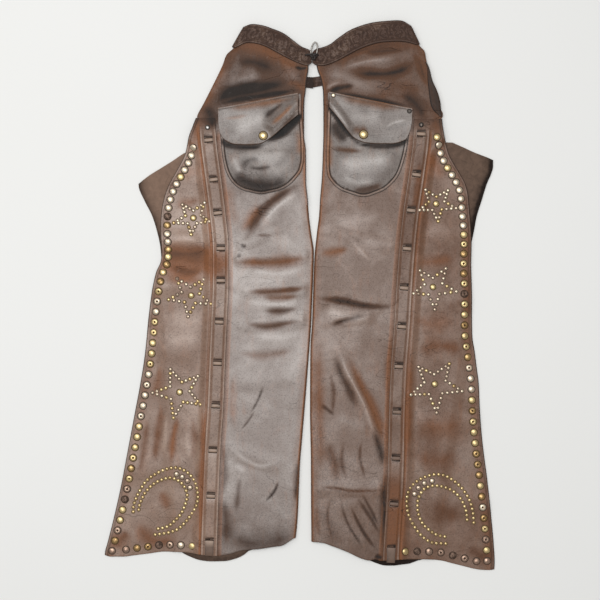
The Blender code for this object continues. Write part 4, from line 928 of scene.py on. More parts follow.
def wing_faces(side, x, y):
    lace = along(side["lace"], y)
    signed = -side["inward"] * (x - lace)
    distance = np.abs(x - lace)
    leg_edge = np.abs(along(side["leg"], y, 1) - lace)
    back_edge = np.abs(along(side["back"], y) - lace)
    under = wing_level(side, y, distance, leg_edge, back_edge)
    free = soft((signed - leg_edge - 3) / 10)
    height, rust, sheen, dark = marked(x, y, side["wing_marks"])
    drift = free * (height + 0.9 * swell(x, y, 1.7 * side["inward"]) + 0.5)
    under = under + np.maximum(drift, 0)
    near_bridge = bridge_share(side, y, 7.0)
    reached = soft((y - side["wing_top"] - 8) / 10)
    band = soft(1.35 * (1 - (np.abs(signed) / 5.4) ** 4)) * (1 - near_bridge) * reached
    valley = soft(1 - np.abs(np.abs(signed) - 5.6) / 1.0) * reached
    ridge = soft(1 - np.abs(signed - 7.2) / 1.1) * reached
    lip = soft(1 - np.abs(signed + 7.2) / 0.9) * reached
    groove = soft(1 - np.abs(signed - 9.6) / 1.9) * reached
    # Painted shade in and round the lace slots at each bridge
    painted_slot_shadow = soft((4.7 - np.abs(signed)) / 0.8) * soft(bridge_share(side, y + 0.7, 4.7) * 3.0)
    thick = blend(0.5, LEATHER, soft((y - side["wing_top"]) / 13))
    upper = under + thick + 1.0 * band - 0.35 * valley + 0.5 * ridge + 0.4 * lip - 0.8 * groove
    upper = upper + np.minimum(drift, 0) * soft((y - side["wing_top"]) / 13)
    wave = 0.72 + 0.28 * np.sin(y * 0.05 + side["inward"])
    beside = soft((17 - signed) / 8) * soft((signed - 7) / 2)
    worn_in = 0.35 + 0.65 * np.maximum(soft((y - 400) / 40), soft((300 - y) / 40))
    rust = rust + 0.9 * groove * wave * worn_in + 0.35 * beside * wave * worn_in + 0.2 * valley
    rust = rust + (0.12 if side["inward"] > 0 else 0.55) * band * soft((y - 455) / 40)
    # Painted shade in the valleys beside the lace band and on the slope into the outer groove; the ridge and
    # lip get painted highlights below
    dark = dark + 0.3 * soft(1 - np.abs(signed - 8.7) / 0.7) * reached * worn_in + 0.16 * valley + 1.1 * painted_slot_shadow
    dark = dark + 0.3 * soft(1 - (signed + 8) / 0.9)
    dark = dark + 0.1 * band
    sheen = sheen + 0.12 * band + (0.7 * ridge + 0.6 * lip) * wave
    outer = np.abs(along(side["wing"], y) - lace)
    from_rim = outer - signed
    dark = dark + 0.75 * soft(1 - from_rim / 1.4) + 0.35 * soft(1 - np.abs(from_rim - 2.6) / 1.2)
    rust = rust + 0.35 * soft(1 - np.abs(from_rim - 6) / 6)
    rust = rust * soft((y - side["wing_top"] + 6) / 20) + 0.3 * soft((140 - y) / 24)
    rust = rust + (0.1 if side["inward"] > 0 else 0.22) * soft((y - 116) / 40)
    dark = dark + hip_shade(y) + 0.25 * soft((134 - y) / 20)
    dark = dark + (0.0 if side["inward"] > 0 else 0.2) * soft((y - 116) / 40)
    rust, sheen, dark = np.clip(rust, 0, 1), np.clip(sheen, 0, 1), np.clip(dark, 0, 1)
    return under, upper, rust, sheen, dark


def wing_piece(side, material, slots):
    outward = -side["inward"]
    dense = np.unique(np.concatenate([[0, 0.02], np.linspace(0, 1, 37)]))
    far = np.unique(np.concatenate([np.linspace(0, 1, 38)[1:], [0.993, 0.985, 0.97]]))
    rows = lines_near(0, 1, 300, 0.001)

    def stations(y):
        outer = np.abs(along(side["wing"], y) - along(side["lace"], y))
        near = np.minimum(14.0, 0.6 * outer)
        close = -8.0 + dense * (near[..., None] + 8.0)
        wide = near[..., None] + far * (outer - near)[..., None]
        return np.concatenate([close, wide], -1)

    base = stations(np.array([HEM_Y]))[0]
    hem = along(side["wing_hem"], along(side["lace"], HEM_Y) + outward * base)
    y = blend(hem[None, :], side["wing_top"], rows[:, None])
    outer = np.abs(along(side["wing"], y) - along(side["lace"], y))
    near = np.minimum(14.0, 0.6 * outer)
    count = len(dense)
    distance = np.empty_like(y)
    distance[:, :count] = -8.0 + dense * (near[:, :count] + 8.0)
    distance[:, count:] = near[:, count:] + far * (outer - near)[:, count:]
    x = along(side["lace"], y) + outward * distance
    under, upper, rust, sheen, dark = wing_faces(side, x, y)
    marks = wear_marks(rust, sheen, dark)
    mesh = wall("wing_" + side["tag"], place(x, y, upper), place(x, y, under), marks)
    return cut_slots(make_piece("chaps_wing_" + side["tag"], mesh, material), slots)


# Leg: front panel, rounded fold and back panel of one hide
def clear_of_layers(side, x, y):
    inside = side["inward"] * (x - along(side["lace"], y))
    lace = np.maximum(soft((inside - 9) / 8), soft((side["wing_top"] - 12 - y) / 6))
    left, right = along(side["pouch"], y, 1), along(side["pouch"], y, 2)
    top = along(side["flap"], x, 1)
    covered = soft((x - left + 7) / 5) * soft((right + 7 - x) / 5)
    covered = covered * soft((y - top + 8) / 6) * soft((202 - y) / 6)
    lower = sorted((row[2], row[3]) for row in side["belt"])
    below_belt = soft((y - along(lower, x) - 1.5) / 6)
    facing = 1.0
    if side["inward"] < 0:
        facing = np.where(y < 120, soft((along(HIP_FACING, y, 1) - 3 - x) / 6), 1.0)
    return lace * (1 - covered) * below_belt * facing


def fold_height(side, x, y):
    height = np.zeros(np.shape(x))
    for x0, y0, x1, y1, half, top in side["folds"]:
        distance, _ = nearest(x, y, np.array([(x0, y0), (x1, y1)], float))
        height = np.maximum(height, top * soft(1 - distance / half))
    return height * soft((y - 216) / 16)


def leg_piece(side, material, slots):
    inward = side["inward"]
    left = inward > 0
    radius = (FRONT_MID - BACK_MID) / 2
    middle = (FRONT_MID + BACK_MID) / 2
    reach = (radius + LEATHER / 2) * PER_MM
    hem_y = along(side["leg_hem"], along(side["leg"], 540, 2))
    top_y = along(side["leg_top"], along(side["leg"], 60, 2))
    crotch = (hem_y - CROTCH_Y) / (hem_y - top_y)
    low_rows = np.concatenate([[0, 0.001], np.linspace(0, crotch, 225)[1:]])
    high_rows = np.linspace(crotch, 1, 112)[1:]
    v = np.unique(np.concatenate([low_rows, [crotch + 0.0008], high_rows, [0.999]]))[:, None]
    folded = int(np.argmin(np.abs(v[:, 0] - crotch)))
    s = np.unique(np.concatenate([
        [0, 0.006], np.linspace(0.02, 0.14, 6), np.linspace(0.155, 0.26, 16), np.linspace(0.275, 0.9, 46),
        np.linspace(0.912, 1, 16),
    ]))[None, :]
    top_x = blend(along(side["leg"], 45, 1), along(side["leg"], 60, 2), s)
    hem_x = blend(along(side["leg"], 552, 1), along(side["leg"], 540, 2), s)
    y = blend(along(side["leg_hem"], hem_x), along(side["leg_top"], top_x), v)
    fuller = (2.0 if left else 3.4) * soft(1 - np.abs(y - 117) / 10) + 2.4 * soft(1 - np.abs(y - 47) / 17)
    outer = along(side["leg"], y, 1) - inward * fuller
    tuck = (v <= crotch + 1e-6) * 1.0
    inner = along(side["leg"], y, 2) - inward * reach * tuck
    x = blend(outer, inner, s)
    height, rust, sheen, dark = marked(x, y, side["leg_marks"])
    free = clear_of_layers(side, x, y) * soft((1 - s) / 0.08)
    height = height + fold_height(side, x, y) * 0.7 + swell(x, y, 0.8 * inward) + 0.2
    height = free * np.clip(height, -1.7, 4.2)
    hip = soft((112 - y) / 20) * soft((0.1 - s) / 0.1) * (1.0 if left else 0.0)
    z = FRONT_MID + height - 1.8 * hip
    from_inner = (1 - s) * np.abs(inner - outer) + reach * tuck
    from_outer = s * np.abs(inner - outer)
    inside = inward * (x - along(side["lace"], y))
    hips = hip_shade(y)
    line = soft(1 - np.abs(from_inner - 0.4) / 0.8)
    strip = soft(1 - np.abs(from_inner - 1.8) / 1.3)
    wave = 0.7 + 0.3 * np.sin(y * 0.045 + inward)
    seam = soft(1 - np.abs(inside - 11.6) / 1.0) * soft((y - 128) / 10)
    beside = soft((13 - inside) / 2) * soft((y - 128) / 10)
    rust = rust + 0.95 * strip * wave + 0.3 * seam + 0.4 * beside + 0.6 * hips * soft((14 - from_outer) / 12)
    rust = rust + (0.0 if left else 0.12) + 0.5 * hips + 0.25 * soft((10 - from_inner) / 9)
    # Painted shadow: a dark line at the inner edge and one beside the wing's inner edge, where the wing's
    # thickness casts shade
    dark = dark + 0.8 * line + 0.18 * soft(1 - np.abs(inside - 9.0) / 1.2) * soft((y - 118) / 10)
    dark = dark + hips * (1.0 if left else 0.75) + (0.0 if left else 0.1)
    sheen = sheen + 0.3 * strip * wave + 0.5 * seam
    low = soft((y - 505) / 60)
    dark = dark + 0.12 * low
    # Painted sheen over the middle of the leg, full on the left and weaker on the right
    sheen = sheen + 0.3 * soft((y - 205) / 40) * soft((530 - y) / 60) * (1 if left else 0.3)
    rust, sheen, dark = np.clip(rust, 0, 1), np.clip(sheen, 0, 1), np.clip(dark, 0, 1)
    normal_x = [np.zeros_like(x)]
    normal_z = [np.ones_like(x)]
    grid = [(x, y, z)]
    folds = np.linspace(math.pi / 2, -math.pi / 2, 10)[1:-1][None, :]
    fold_x, fold_y = x[:, -1:], y[:, -1:]
    round_x = fold_x + inward * np.cos(folds) * radius * PER_MM
    grid.append((round_x, fold_y + 0 * folds, middle + radius * np.sin(folds) + 0 * fold_x))
    normal_x.append(inward * np.cos(folds) + 0 * fold_x)
    normal_z.append(np.sin(folds) + 0 * fold_x)
    u = np.minimum(1.0, v / crotch)
    b = np.unique(np.concatenate([np.linspace(0, 1, 30), [0.004, 0.994]]))[None, :]
    back_top_x = blend(along(side["leg"], CROTCH_Y, 2) - inward * reach, along(side["back"], 184), b)
    back_hem_x = blend(along(side["leg"], 540, 2) - inward * reach, along(side["back"], 553), b)
    back_y = blend(along(side["back_hem"], back_hem_x), along(side["back_top"], back_top_x), u)
    back_y = blend(fold_y, back_y, np.minimum(1, b / 0.2))
    back_x = blend(along(side["leg"], back_y, 2) - inward * reach, along(side["back"], back_y), b)
    grid.append((back_x, back_y, BACK_MID + 0 * back_x))
    normal_x.append(0 * back_x)
    normal_z.append(-np.ones_like(back_x))
    x = np.concatenate([g[0] for g in grid], 1)
    y = np.concatenate([g[1] for g in grid], 1)
    z = np.concatenate([g[2] for g in grid], 1)
    nx = np.concatenate(normal_x, 1)
    nz = np.concatenate(normal_z, 1)
    half = LEATHER / 2
    outside = place(x + nx * half * PER_MM, y, z + nz * half)
    inside_face = place(x - nx * half * PER_MM, y, z - nz * half)
    tail = x.shape[1] - rust.shape[1]
    fold_rust = np.full((len(v), 8), 0.55)
    rest = np.zeros((len(v), tail - 8))
    rust = np.concatenate([rust, fold_rust, rest], 1)
    sheen = np.concatenate([sheen, np.zeros((len(v), tail))], 1)
    dark = np.concatenate([dark, np.full((len(v), 8), 0.35), rest + 0.3], 1)
    clear = np.zeros((len(v), x.shape[1] - b.shape[1]))
    edge = np.concatenate([clear, soft((b - 0.95) / 0.05) + 0 * back_x], 1)
    low_edge = soft((12 - (along(side["back_hem"], x) - y)) / 10)
    inner_dark = np.clip(0.6 * edge + 0.55 * low_edge + (0.05 if left else 0.4), 0, 1)
    values = wear_marks(rust, sheen, dark, inner_dark)
    cells = np.ones((len(v) - 1, x.shape[1] - 1), bool)
    cells[folded:, s.shape[1] - 1:] = False
    mesh = wall("leg_" + side["tag"], outside, inside_face, values, cells)
    return cut_slots(make_piece("chaps_leg_" + side["tag"], mesh, material), slots)


# Slots for the lace, cut through the wing and the leg front
def lace_frame(side, y):
    slope = (along(side["lace"], y + 3) - along(side["lace"], y - 3)) / 6
    length = math.hypot(1, slope)
    return float(along(side["lace"], y)), slope / length, 1 / length


def slot_boxes(side):
    points = []
    faces = []
    for k, y in enumerate(side["bridges"]):
        x, dx, dy = lace_frame(side, y)
        turn = math.atan2(dx, dy)
        for end in (-1, 1) if k < len(side["bridges"]) - 1 else (-1,):
            shift = end * SLOT_REACH * PER_MM
            start = len(points)
            for level in (4.2, 12.4):
                px, py, pz = place(x + dx * shift, y + dy * shift, level)
                for sx, sy in ((-1, -1), (1, -1), (1, 1), (-1, 1)):
                    wide = sx * (LACE_WIDTH + 0.7) / 2 * MM
                    long = sy * SLOT_LENGTH / 2 * MM
                    points.append((
                        px + wide * math.cos(turn) - long * math.sin(turn),
                        py + wide * math.sin(turn) + long * math.cos(turn), pz,
                    ))
            faces.append([start + m for m in (3, 2, 1, 0)])
            faces.append([start + m for m in (4, 5, 6, 7)])
            for m in range(4):
                n = (m + 1) % 4
                faces.append([start + m, start + n, start + n + 4, start + m + 4])
    mesh = bpy.data.meshes.new("slots")
    mesh.from_pydata(points, [], faces)
    return make_piece("slots_" + side["tag"], mesh, None)


def cut_slots(item, slots):
    modifier = item.modifiers.new("slots", "BOOLEAN")
    modifier.operation = "DIFFERENCE"
    modifier.solver = "EXACT"
    modifier.object = slots
    return keep_result(item)


# Lace strip, up through a slot, over the bridge and down through the next
def lace_piece(side, material):
    up = [(-4.1, LACE_LOW_MID), (-3.55, LACE_LOW_MID + 0.3), (-3.25, LACE_LOW_MID + 1.0)]
    up += [(-3.25, LACE_HIGH_MID - 1.9), (-3.1, LACE_HIGH_MID - 1.1), (-2.6, LACE_HIGH_MID - 0.4)]
    up += [(-1.8, LACE_HIGH_MID), (0.0, LACE_HIGH_MID + 0.15)]
    path = []
    first = side["bridges"][0] - 7.4
    x, dx, dy = lace_frame(side, first)
    path.append((x, first, dx, dy, LACE_LOW_MID, 0.0, 0.5))
    last = len(side["bridges"]) - 1
    for k, y in enumerate(side["bridges"]):
        x, dx, dy = lace_frame(side, y)
        steps = up + [(-t, z) for t, z in reversed(up[:-1])]
        steps = up if k == last else steps
        lower_half = soft((k - 5) / 3) if side["inward"] < 0 else 0.0
        for t, z in steps:
            on_top = float(soft((z - LACE_HIGH_MID + 0.75) / 0.7))
            tan = on_top * (1 - 0.75 * lower_half)
            path.append((x + dx * t * PER_MM, y + dy * t * PER_MM, dx, dy, z, tan, 1 - on_top))
        if k < last:
            for share in (0.25, 0.5, 0.75):
                middle = blend(y, side["bridges"][k + 1], share)
                x, dx, dy = lace_frame(side, middle)
                path.append((x, middle, dx, dy, LACE_LOW_MID, 0.0, 1.0))
    for step, rise in ((5.0, 0.3), (9.0, 0.1), (13.0, -0.25), (13.5, -0.3)):
        end = side["bridges"][-1] + step
        x, dx, dy = lace_frame(side, end)
        path.append((x, end, dx, dy, LACE_HIGH_MID + rise, 0.35, 0.3))
    p = np.array(path)
    centre = place(p[:, 0], p[:, 1], p[:, 4])
    run = np.stack([p[:, 2], -p[:, 3], 0 * p[:, 2]], -1)
    step = np.diff(centre, axis=0)
    travel = np.stack([(step * run[:-1]).sum(1), step[:, 2]], -1)
    travel /= np.linalg.norm(travel, axis=1, keepdims=True)
    before = np.concatenate([travel[:1], travel])
    after = np.concatenate([travel, travel[-1:]])
    normal = np.stack([-(before[:, 1] + after[:, 1]), before[:, 0] + after[:, 0]], -1)
    normal /= np.linalg.norm(normal, axis=1, keepdims=True)
    cosine = normal[:, 0] * -before[:, 1] + normal[:, 1] * before[:, 0]
    normal3 = run * normal[:, :1] + np.array([0, 0, 1]) * normal[:, 1:]
    across = np.stack([p[:, 3], p[:, 2], 0 * p[:, 2]], -1)
    w = np.array([-1, -0.94, -0.5, 0, 0.5, 0.94, 1])
    crown = 1 - 0.25 * w ** 8
    offset = (LACE_THICK / 2 * MM / np.maximum(0.5, cosine))[:, None, None]
    flat = centre[:, None, :] + across[:, None, :] * (w * LACE_WIDTH / 2 * MM)[None, :, None]
    outer = flat + normal3[:, None, :] * offset * crown[None, :, None]
    inner = flat - normal3[:, None, :] * offset
    tan = np.repeat(p[:, 5:6], len(w), 1)
    # Painted shade: the lace is darker where it runs low under the wing and down through the slots
    dark = np.clip(np.repeat(p[:, 6:7], len(w), 1) * 0.8 + 0.3 * np.abs(w) ** 6, 0, 1)
    marks = {"tan": both(tan), "dark": both(dark, 0.5)}
    mesh = wall("lace_" + side["tag"], outer, inner, marks, None, (True, True, False, False))
    return make_piece("chaps_lace_" + side["tag"], mesh, material)


# Pouch: welted edge and a soft puff below the flap
def pouch_piece(side, material):
    left = side["inward"] > 0
    table, flap = side["pouch"], side["flap"]
    s = np.unique(np.concatenate([
        [0, 0.006, 0.994, 1], np.linspace(0, 0.07, 13), np.linspace(0.09, 0.91, 44), np.linspace(0.93, 1, 13),
    ]))[None, :]
    top_row = table[0][0]
    last_row = table[-1][0]
    rows = np.unique(np.concatenate([
        np.linspace(top_row, 150, 20), np.linspace(151, last_row - 6, 28),
        np.linspace(last_row - 5.4, last_row, 13), [last_row - 0.3],
    ]))[:, None]
    edge_left = along(table, rows, 1)
    edge_right = along(table, rows, 2)
    x = blend(edge_left, edge_right, s)
    y = rows + 0 * x
    lip = along(flap, np.clip(x, flap[0][0], flap[-1][0]), 1) + 1.2
    y = np.where(rows < 112, blend(lip, y, soft((rows - top_row) / (112 - top_row))), y)
    bottom_sag = 1.0 if left else 1.8
    y = y + bottom_sag * (1 - (2 * s - 1) ** 2) * soft((rows - last_row + 9) / 9)
    t = np.linspace(0, 1, 9)
    low_x = blend(along(table, last_row, 1), along(table, last_row, 2), t)
    line = np.concatenate([
        np.stack([along(table, np.linspace(104, last_row, 40), 1), np.linspace(104, last_row, 40)], -1),
        np.stack([low_x, last_row + bottom_sag * (1 - (2 * t - 1) ** 2)], -1),
        np.stack([along(table, np.linspace(last_row, 104, 40), 2), np.linspace(last_row, 104, 40)], -1),
    ])
    inset, _ = nearest(x, y, line)
    puff = soft((y - 144) / 16) * soft(inset / 16)
    height, rust, sheen, dark = marked(x, y, side["pouch_marks"])
    open_part = soft((y - 146) / 6)
    welt = soft(1 - np.abs(inset - 1.5) / 1.2)
    crease = soft(1 - np.abs(inset - 3.0) / 0.8)
    z = WING_OVER_FRONT + open_part * np.clip(2.6 * puff + height * soft(inset / 8), 0, 3.4)
    upper = z + POUCH_THICK + open_part * (0.8 * welt - 0.6 * crease) * soft((y - 146) / 4)
    near_leg_edge = soft((x - 290) / 10) if left else soft((338 - x) / 10)
    # Painted shade on the pouch's outer rim and in the crease inside the welt; the welt gets a painted
    # highlight
    rust = np.clip(rust + 0.4 * welt + 0.5 * near_leg_edge * soft(1 - inset / 6), 0, 1)
    dark = np.clip(dark * soft(inset / 1.2 + 0.2) + 0.9 * crease + 0.9 * soft(1 - inset / 0.6), 0, 1)
    sheen = np.clip(sheen + 0.6 * welt, 0, 1)
    values = wear_marks(rust, sheen, dark)
    mesh = wall("pouch_" + side["tag"], place(x, y, upper), place(x, y, z), values)
    return make_piece("chaps_pouch_" + side["tag"], mesh, material)


# Flap: lifted along the line where its end has curled
def flap_lift(side, x, y):
    left = side["inward"] > 0
    snap_x, snap_y = side["snap"]
    away = soft((np.hypot(x - snap_x, y - snap_y) - 5.5) / 7)
    if left:
        crest = np.array([(264, 133), (272, 127), (284, 117), (297, 104)], float)
        corner = np.array([(272, 137), (285, 126), (299, 114)], float)
        top, fall, half = 6.6, 4.6, 13
    else:
        crest = np.array([(330, 103), (338, 114), (346, 125), (355, 135)], float)
        corner = np.array([(329, 108), (339, 120.5), (347, 131), (354, 138)], float)
        top, fall, half = 4.4, 2.8, 7
    to_crest, share = nearest(x, y, smooth_line(crest))
    to_edge, _ = nearest(x, y, smooth_line(corner))
    beyond = blend(fall, top, soft(to_edge / (to_edge + to_crest + 1e-6) * 2))
    lift = np.where(to_edge < to_crest, beyond, top * soft(1 - to_crest / half))
    ends = soft(share / 0.22) if left else soft((1 - share) / 0.3)
    return lift * away * ends


def flap_piece(side, material):
    table = side["flap"]
    low, high = table[0][0], table[-1][0]
    ends = np.linspace(0, 6, 9)
    columns = np.unique(np.concatenate([lines_near(low, high, 84, 0.35), low + ends, high - ends]))[:, None]
    t = lines_near(0, 1, 34, 0.008)[None, :]
    top, lower = along(table, columns, 1), along(table, columns, 2)
    y = blend(top, lower, t)
    x = columns + 0 * y
    height, rust, sheen, dark = marked(x, y, side["flap_marks"])
    base = WING_OVER_FRONT + POUCH_THICK + GAP
    settled = soft((y - top) / 8)
    lift = flap_lift(side, x, y)
    snap_x, snap_y = side["snap"]
    away = soft((np.hypot(x - snap_x, y - snap_y) - 5.0) / 4)
    z = base + settled * np.clip(lift + np.maximum(height, 0) * away, 0, 7.0)
    from_edge = np.minimum(lower - y, np.minimum(x - low, high - x))
    rim = soft(1 - from_edge / 1.6)
    stitched = soft(1 - np.abs(y - top - 2.0) / 1.0)
    upper = z + POUCH_THICK - 0.35 * stitched + settled * np.minimum(height, 0) * away * 0.6
    rust = np.clip(rust + 0.3 * rim + 0.5 * soft(1 - (y - top) / 1.4), 0, 1)
    dark = np.clip(dark + 0.7 * soft(1 - from_edge / 0.9) * soft((y - top - 4) / 4) + 0.35 * stitched, 0, 1)
    values = wear_marks(rust, sheen, dark)
    mesh = wall("flap_" + side["tag"], place(x, y, upper), place(x, y, z), values)
    return make_piece("chaps_flap_" + side["tag"], mesh, material)


# Belt half: tooled band, turned round the hip's edge, then the strap underneath
def belt_piece(side, material):
    left = side["inward"] > 0
    stations, strap = side["belt"], side["strap"]
    front = smooth_line(stations, 10)
    rows = [(ax, ay, bx, by, BELT_MID, 0.0, 0.0, 1.0, BELT_THICK) for ax, ay, bx, by in front]
    ax, ay, bx, by = stations[-1]
    outward = -1 if left else 1
    length = math.hypot(bx - ax, by - ay)
    nx = outward * abs(by - ay) / length
    ny = -abs(bx - ax) / length
    low = strap[0][4]
    radius = (BELT_MID - low) / 2
    middle = (BELT_MID + low) / 2
    for k in range(1, 13):
        angle = math.pi / 2 - math.pi * k / 12
        reach = radius * math.cos(angle) * PER_MM
        thick = blend(BELT_THICK, STRAP_THICK, k / 12)
        pull = (1 - math.cos(angle)) * 0.6 + 0.5
        rows.append((
            ax + nx * reach * 0.3 + (bx - ax) / length * pull,
            ay + ny * reach * 0.3 + (by - ay) / length * pull,
            bx + nx * reach * 1.3, by + ny * reach * 1.3,
            middle + radius * math.sin(angle), nx * math.cos(angle), ny * math.cos(angle), math.sin(angle),
            thick,
        ))
    for sx, sy, tx, ty, z in strap:
        rows.append((sx, sy, tx, ty, z, 0.0, 0.0, -1.0, STRAP_THICK))
    r = np.array(rows)[:, :, None]
    w = np.array([
        0, 0.02, 0.06, 0.1, 0.13, 0.16, 0.2, 0.35, 0.5, 0.65, 0.8, 0.84, 0.87, 0.9, 0.94, 0.98, 1.0,
    ])[None, :]
    x = blend(r[:, 0], r[:, 2], w)
    y = blend(r[:, 1], r[:, 3], w)
    z, nx, ny, nz, thick = (r[:, k] + 0 * w for k in range(4, 9))
    half = thick / 2
    crown = 1 - 0.16 * np.abs(2 * w - 1) ** 6
    groove = 0.5 * (soft(1 - np.abs(np.abs(2 * w - 1) - 0.76) / 0.07)) * soft((nz + 1) / 2)
    up = half * crown - groove * 0.6
    outer = place(x + nx * up * PER_MM, y + ny * up * PER_MM, z + nz * up)
    inner = place(x - nx * half * PER_MM, y - ny * half * PER_MM, z - nz * half)
    middle_line = (outer[:, 0] + outer[:, -1]) / 2
    run = travelled(middle_line)[:, None] + 0 * x
    cross = (2 * w - 1) + 0 * x
    # Painted shadow: the left leg's raised inner edge shades the top of the left strap
    painted_strap_shadow = (0.9 if left else 0.1) * soft(-nz)
    values = {
        "run": both(run), "cross": both(cross), "flesh": both(x * 0, 1.0 - soft(-nz)),
        "dark": both(x * 0, painted_strap_shadow),
    }
    mesh = wall("belt_" + side["tag"], outer, inner, values)
    return make_piece("chaps_belt_" + side["tag"], mesh, material)


def facing_piece(material):
    rows = np.linspace(HIP_FACING[0][0], HIP_FACING[-1][0], 44)[:, None]
    s = np.array([0, 0.06, 0.2, 0.4, 0.6, 0.8, 0.94, 1.0])[None, :]
    x = blend(along(HIP_FACING, rows, 1), along(HIP_FACING, rows, 2), s)
    y = rows + 0 * x
    z = WING_OVER_FRONT + 0 * x
    upper = z + 2.0 - 0.5 * (2 * s - 1) ** 4
    dark = 0.75 + 0.25 * soft(1 - s / 0.15) + 0 * x
    rust = 0.35 * soft(1 - np.abs(s - 0.3) / 0.3) + 0 * x
    mesh = wall("hip_facing", place(x, y, upper), place(x, y, z), wear_marks(rust, x * 0, dark))
    return make_piece("chaps_hip_facing_right", mesh, material)


# Turned shape: rings of radius and height in millimetres round an upright axis
def turned(name, rings, sides, at=(0.0, 0.0, 0.0), tone=0.0, hollow=0):
    points = [(0.0, 0.0, rings[-1][1])]
    rim = [1.0 if hollow else 0.0]
    widest = max(radius for radius, _ in rings)
    for number, (radius, level) in enumerate(rings):
        for k in range(sides):
            angle = math.tau * k / sides
            points.append((radius * math.cos(angle), radius * math.sin(angle), level))
            # A hollow's rings paint the dimple dark as shade; elsewhere rim grows towards the foot
            rim.append(1.0 if number >= len(rings) - hollow else radius / widest)
    faces = []
    for ring in range(len(rings) - 1):
        for k in range(sides):
            a = 1 + ring * sides + k
            b = 1 + ring * sides + (k + 1) % sides
            faces.append([a, b, b + sides, a + sides])
    top = 1 + (len(rings) - 1) * sides
    faces.extend([[top + k, top + (k + 1) % sides, 0] for k in range(sides)])
    faces.append([sides - k for k in range(sides)])
    mesh = bpy.data.meshes.new(name)
    mesh.from_pydata((np.array(points) * MM + np.array(at)).tolist(), [], faces)
    marks = {"rim": rim} if tone is None else {"rim": rim, "tone": np.full(len(points), tone)}
    write_marks(mesh, marks)
    smooth_faces(mesh, 60)
    return mesh


# Round bar along a line, closed or with rounded ends
def bar(points, radius, sides, closed):
    p = np.array(points, float)
    ahead = np.roll(p, -1, 0) - np.roll(p, 1, 0) if closed else np.gradient(p, axis=0)
    ahead /= np.linalg.norm(ahead, axis=1, keepdims=True)
    side = np.cross(ahead[0], (0.31, 0.17, 0.93))
    frames = []
    for run in ahead:
        side = side - run * (side @ run)
        side = side / np.linalg.norm(side)
        frames.append((side, np.cross(run, side)))
    rings = []
    radii = np.full(len(p), radius)
    if not closed:
        radii[0] = radii[-1] = radius * 0.45
    for at, (u, v), r in zip(p, frames, radii):
        angles = np.linspace(0, math.tau, sides, endpoint=False)[:, None]
        rings.append(at + r * (np.cos(angles) * u + np.sin(angles) * v))
    rings = np.array(rings)
    count = len(p) if closed else len(p) - 1
    faces = []
    for k in range(count):
        for m in range(sides):
            a, b = k * sides + m, k * sides + (m + 1) % sides
            n = (k + 1) % len(p)
            faces.append([a, b, n * sides + (m + 1) % sides, n * sides + m])
    if not closed:
        faces.append([sides - 1 - m for m in range(sides)])
        faces.append([(len(p) - 1) * sides + m for m in range(sides)])
    return rings.reshape(-1, 3), faces


def bars_piece(name, bars, material, marks):
    points = []
    faces = []
    for places, ring_faces in bars:
        start = sum(len(p) for p in points)
        points.append(places)
        faces.extend([[start + k for k in face] for face in ring_faces])
    mesh = bpy.data.meshes.new(name)
    points = np.concatenate(points)
    mesh.from_pydata(points.tolist(), [], faces)
    work = bmesh.new()
    work.from_mesh(mesh)
    bmesh.ops.recalc_face_normals(work, faces=work.faces)
    work.to_mesh(mesh)
    work.free()
    write_marks(mesh, {key: np.full(len(points), value) for key, value in marks.items()})
    smooth_faces(mesh)
    return make_piece(name, mesh, material)


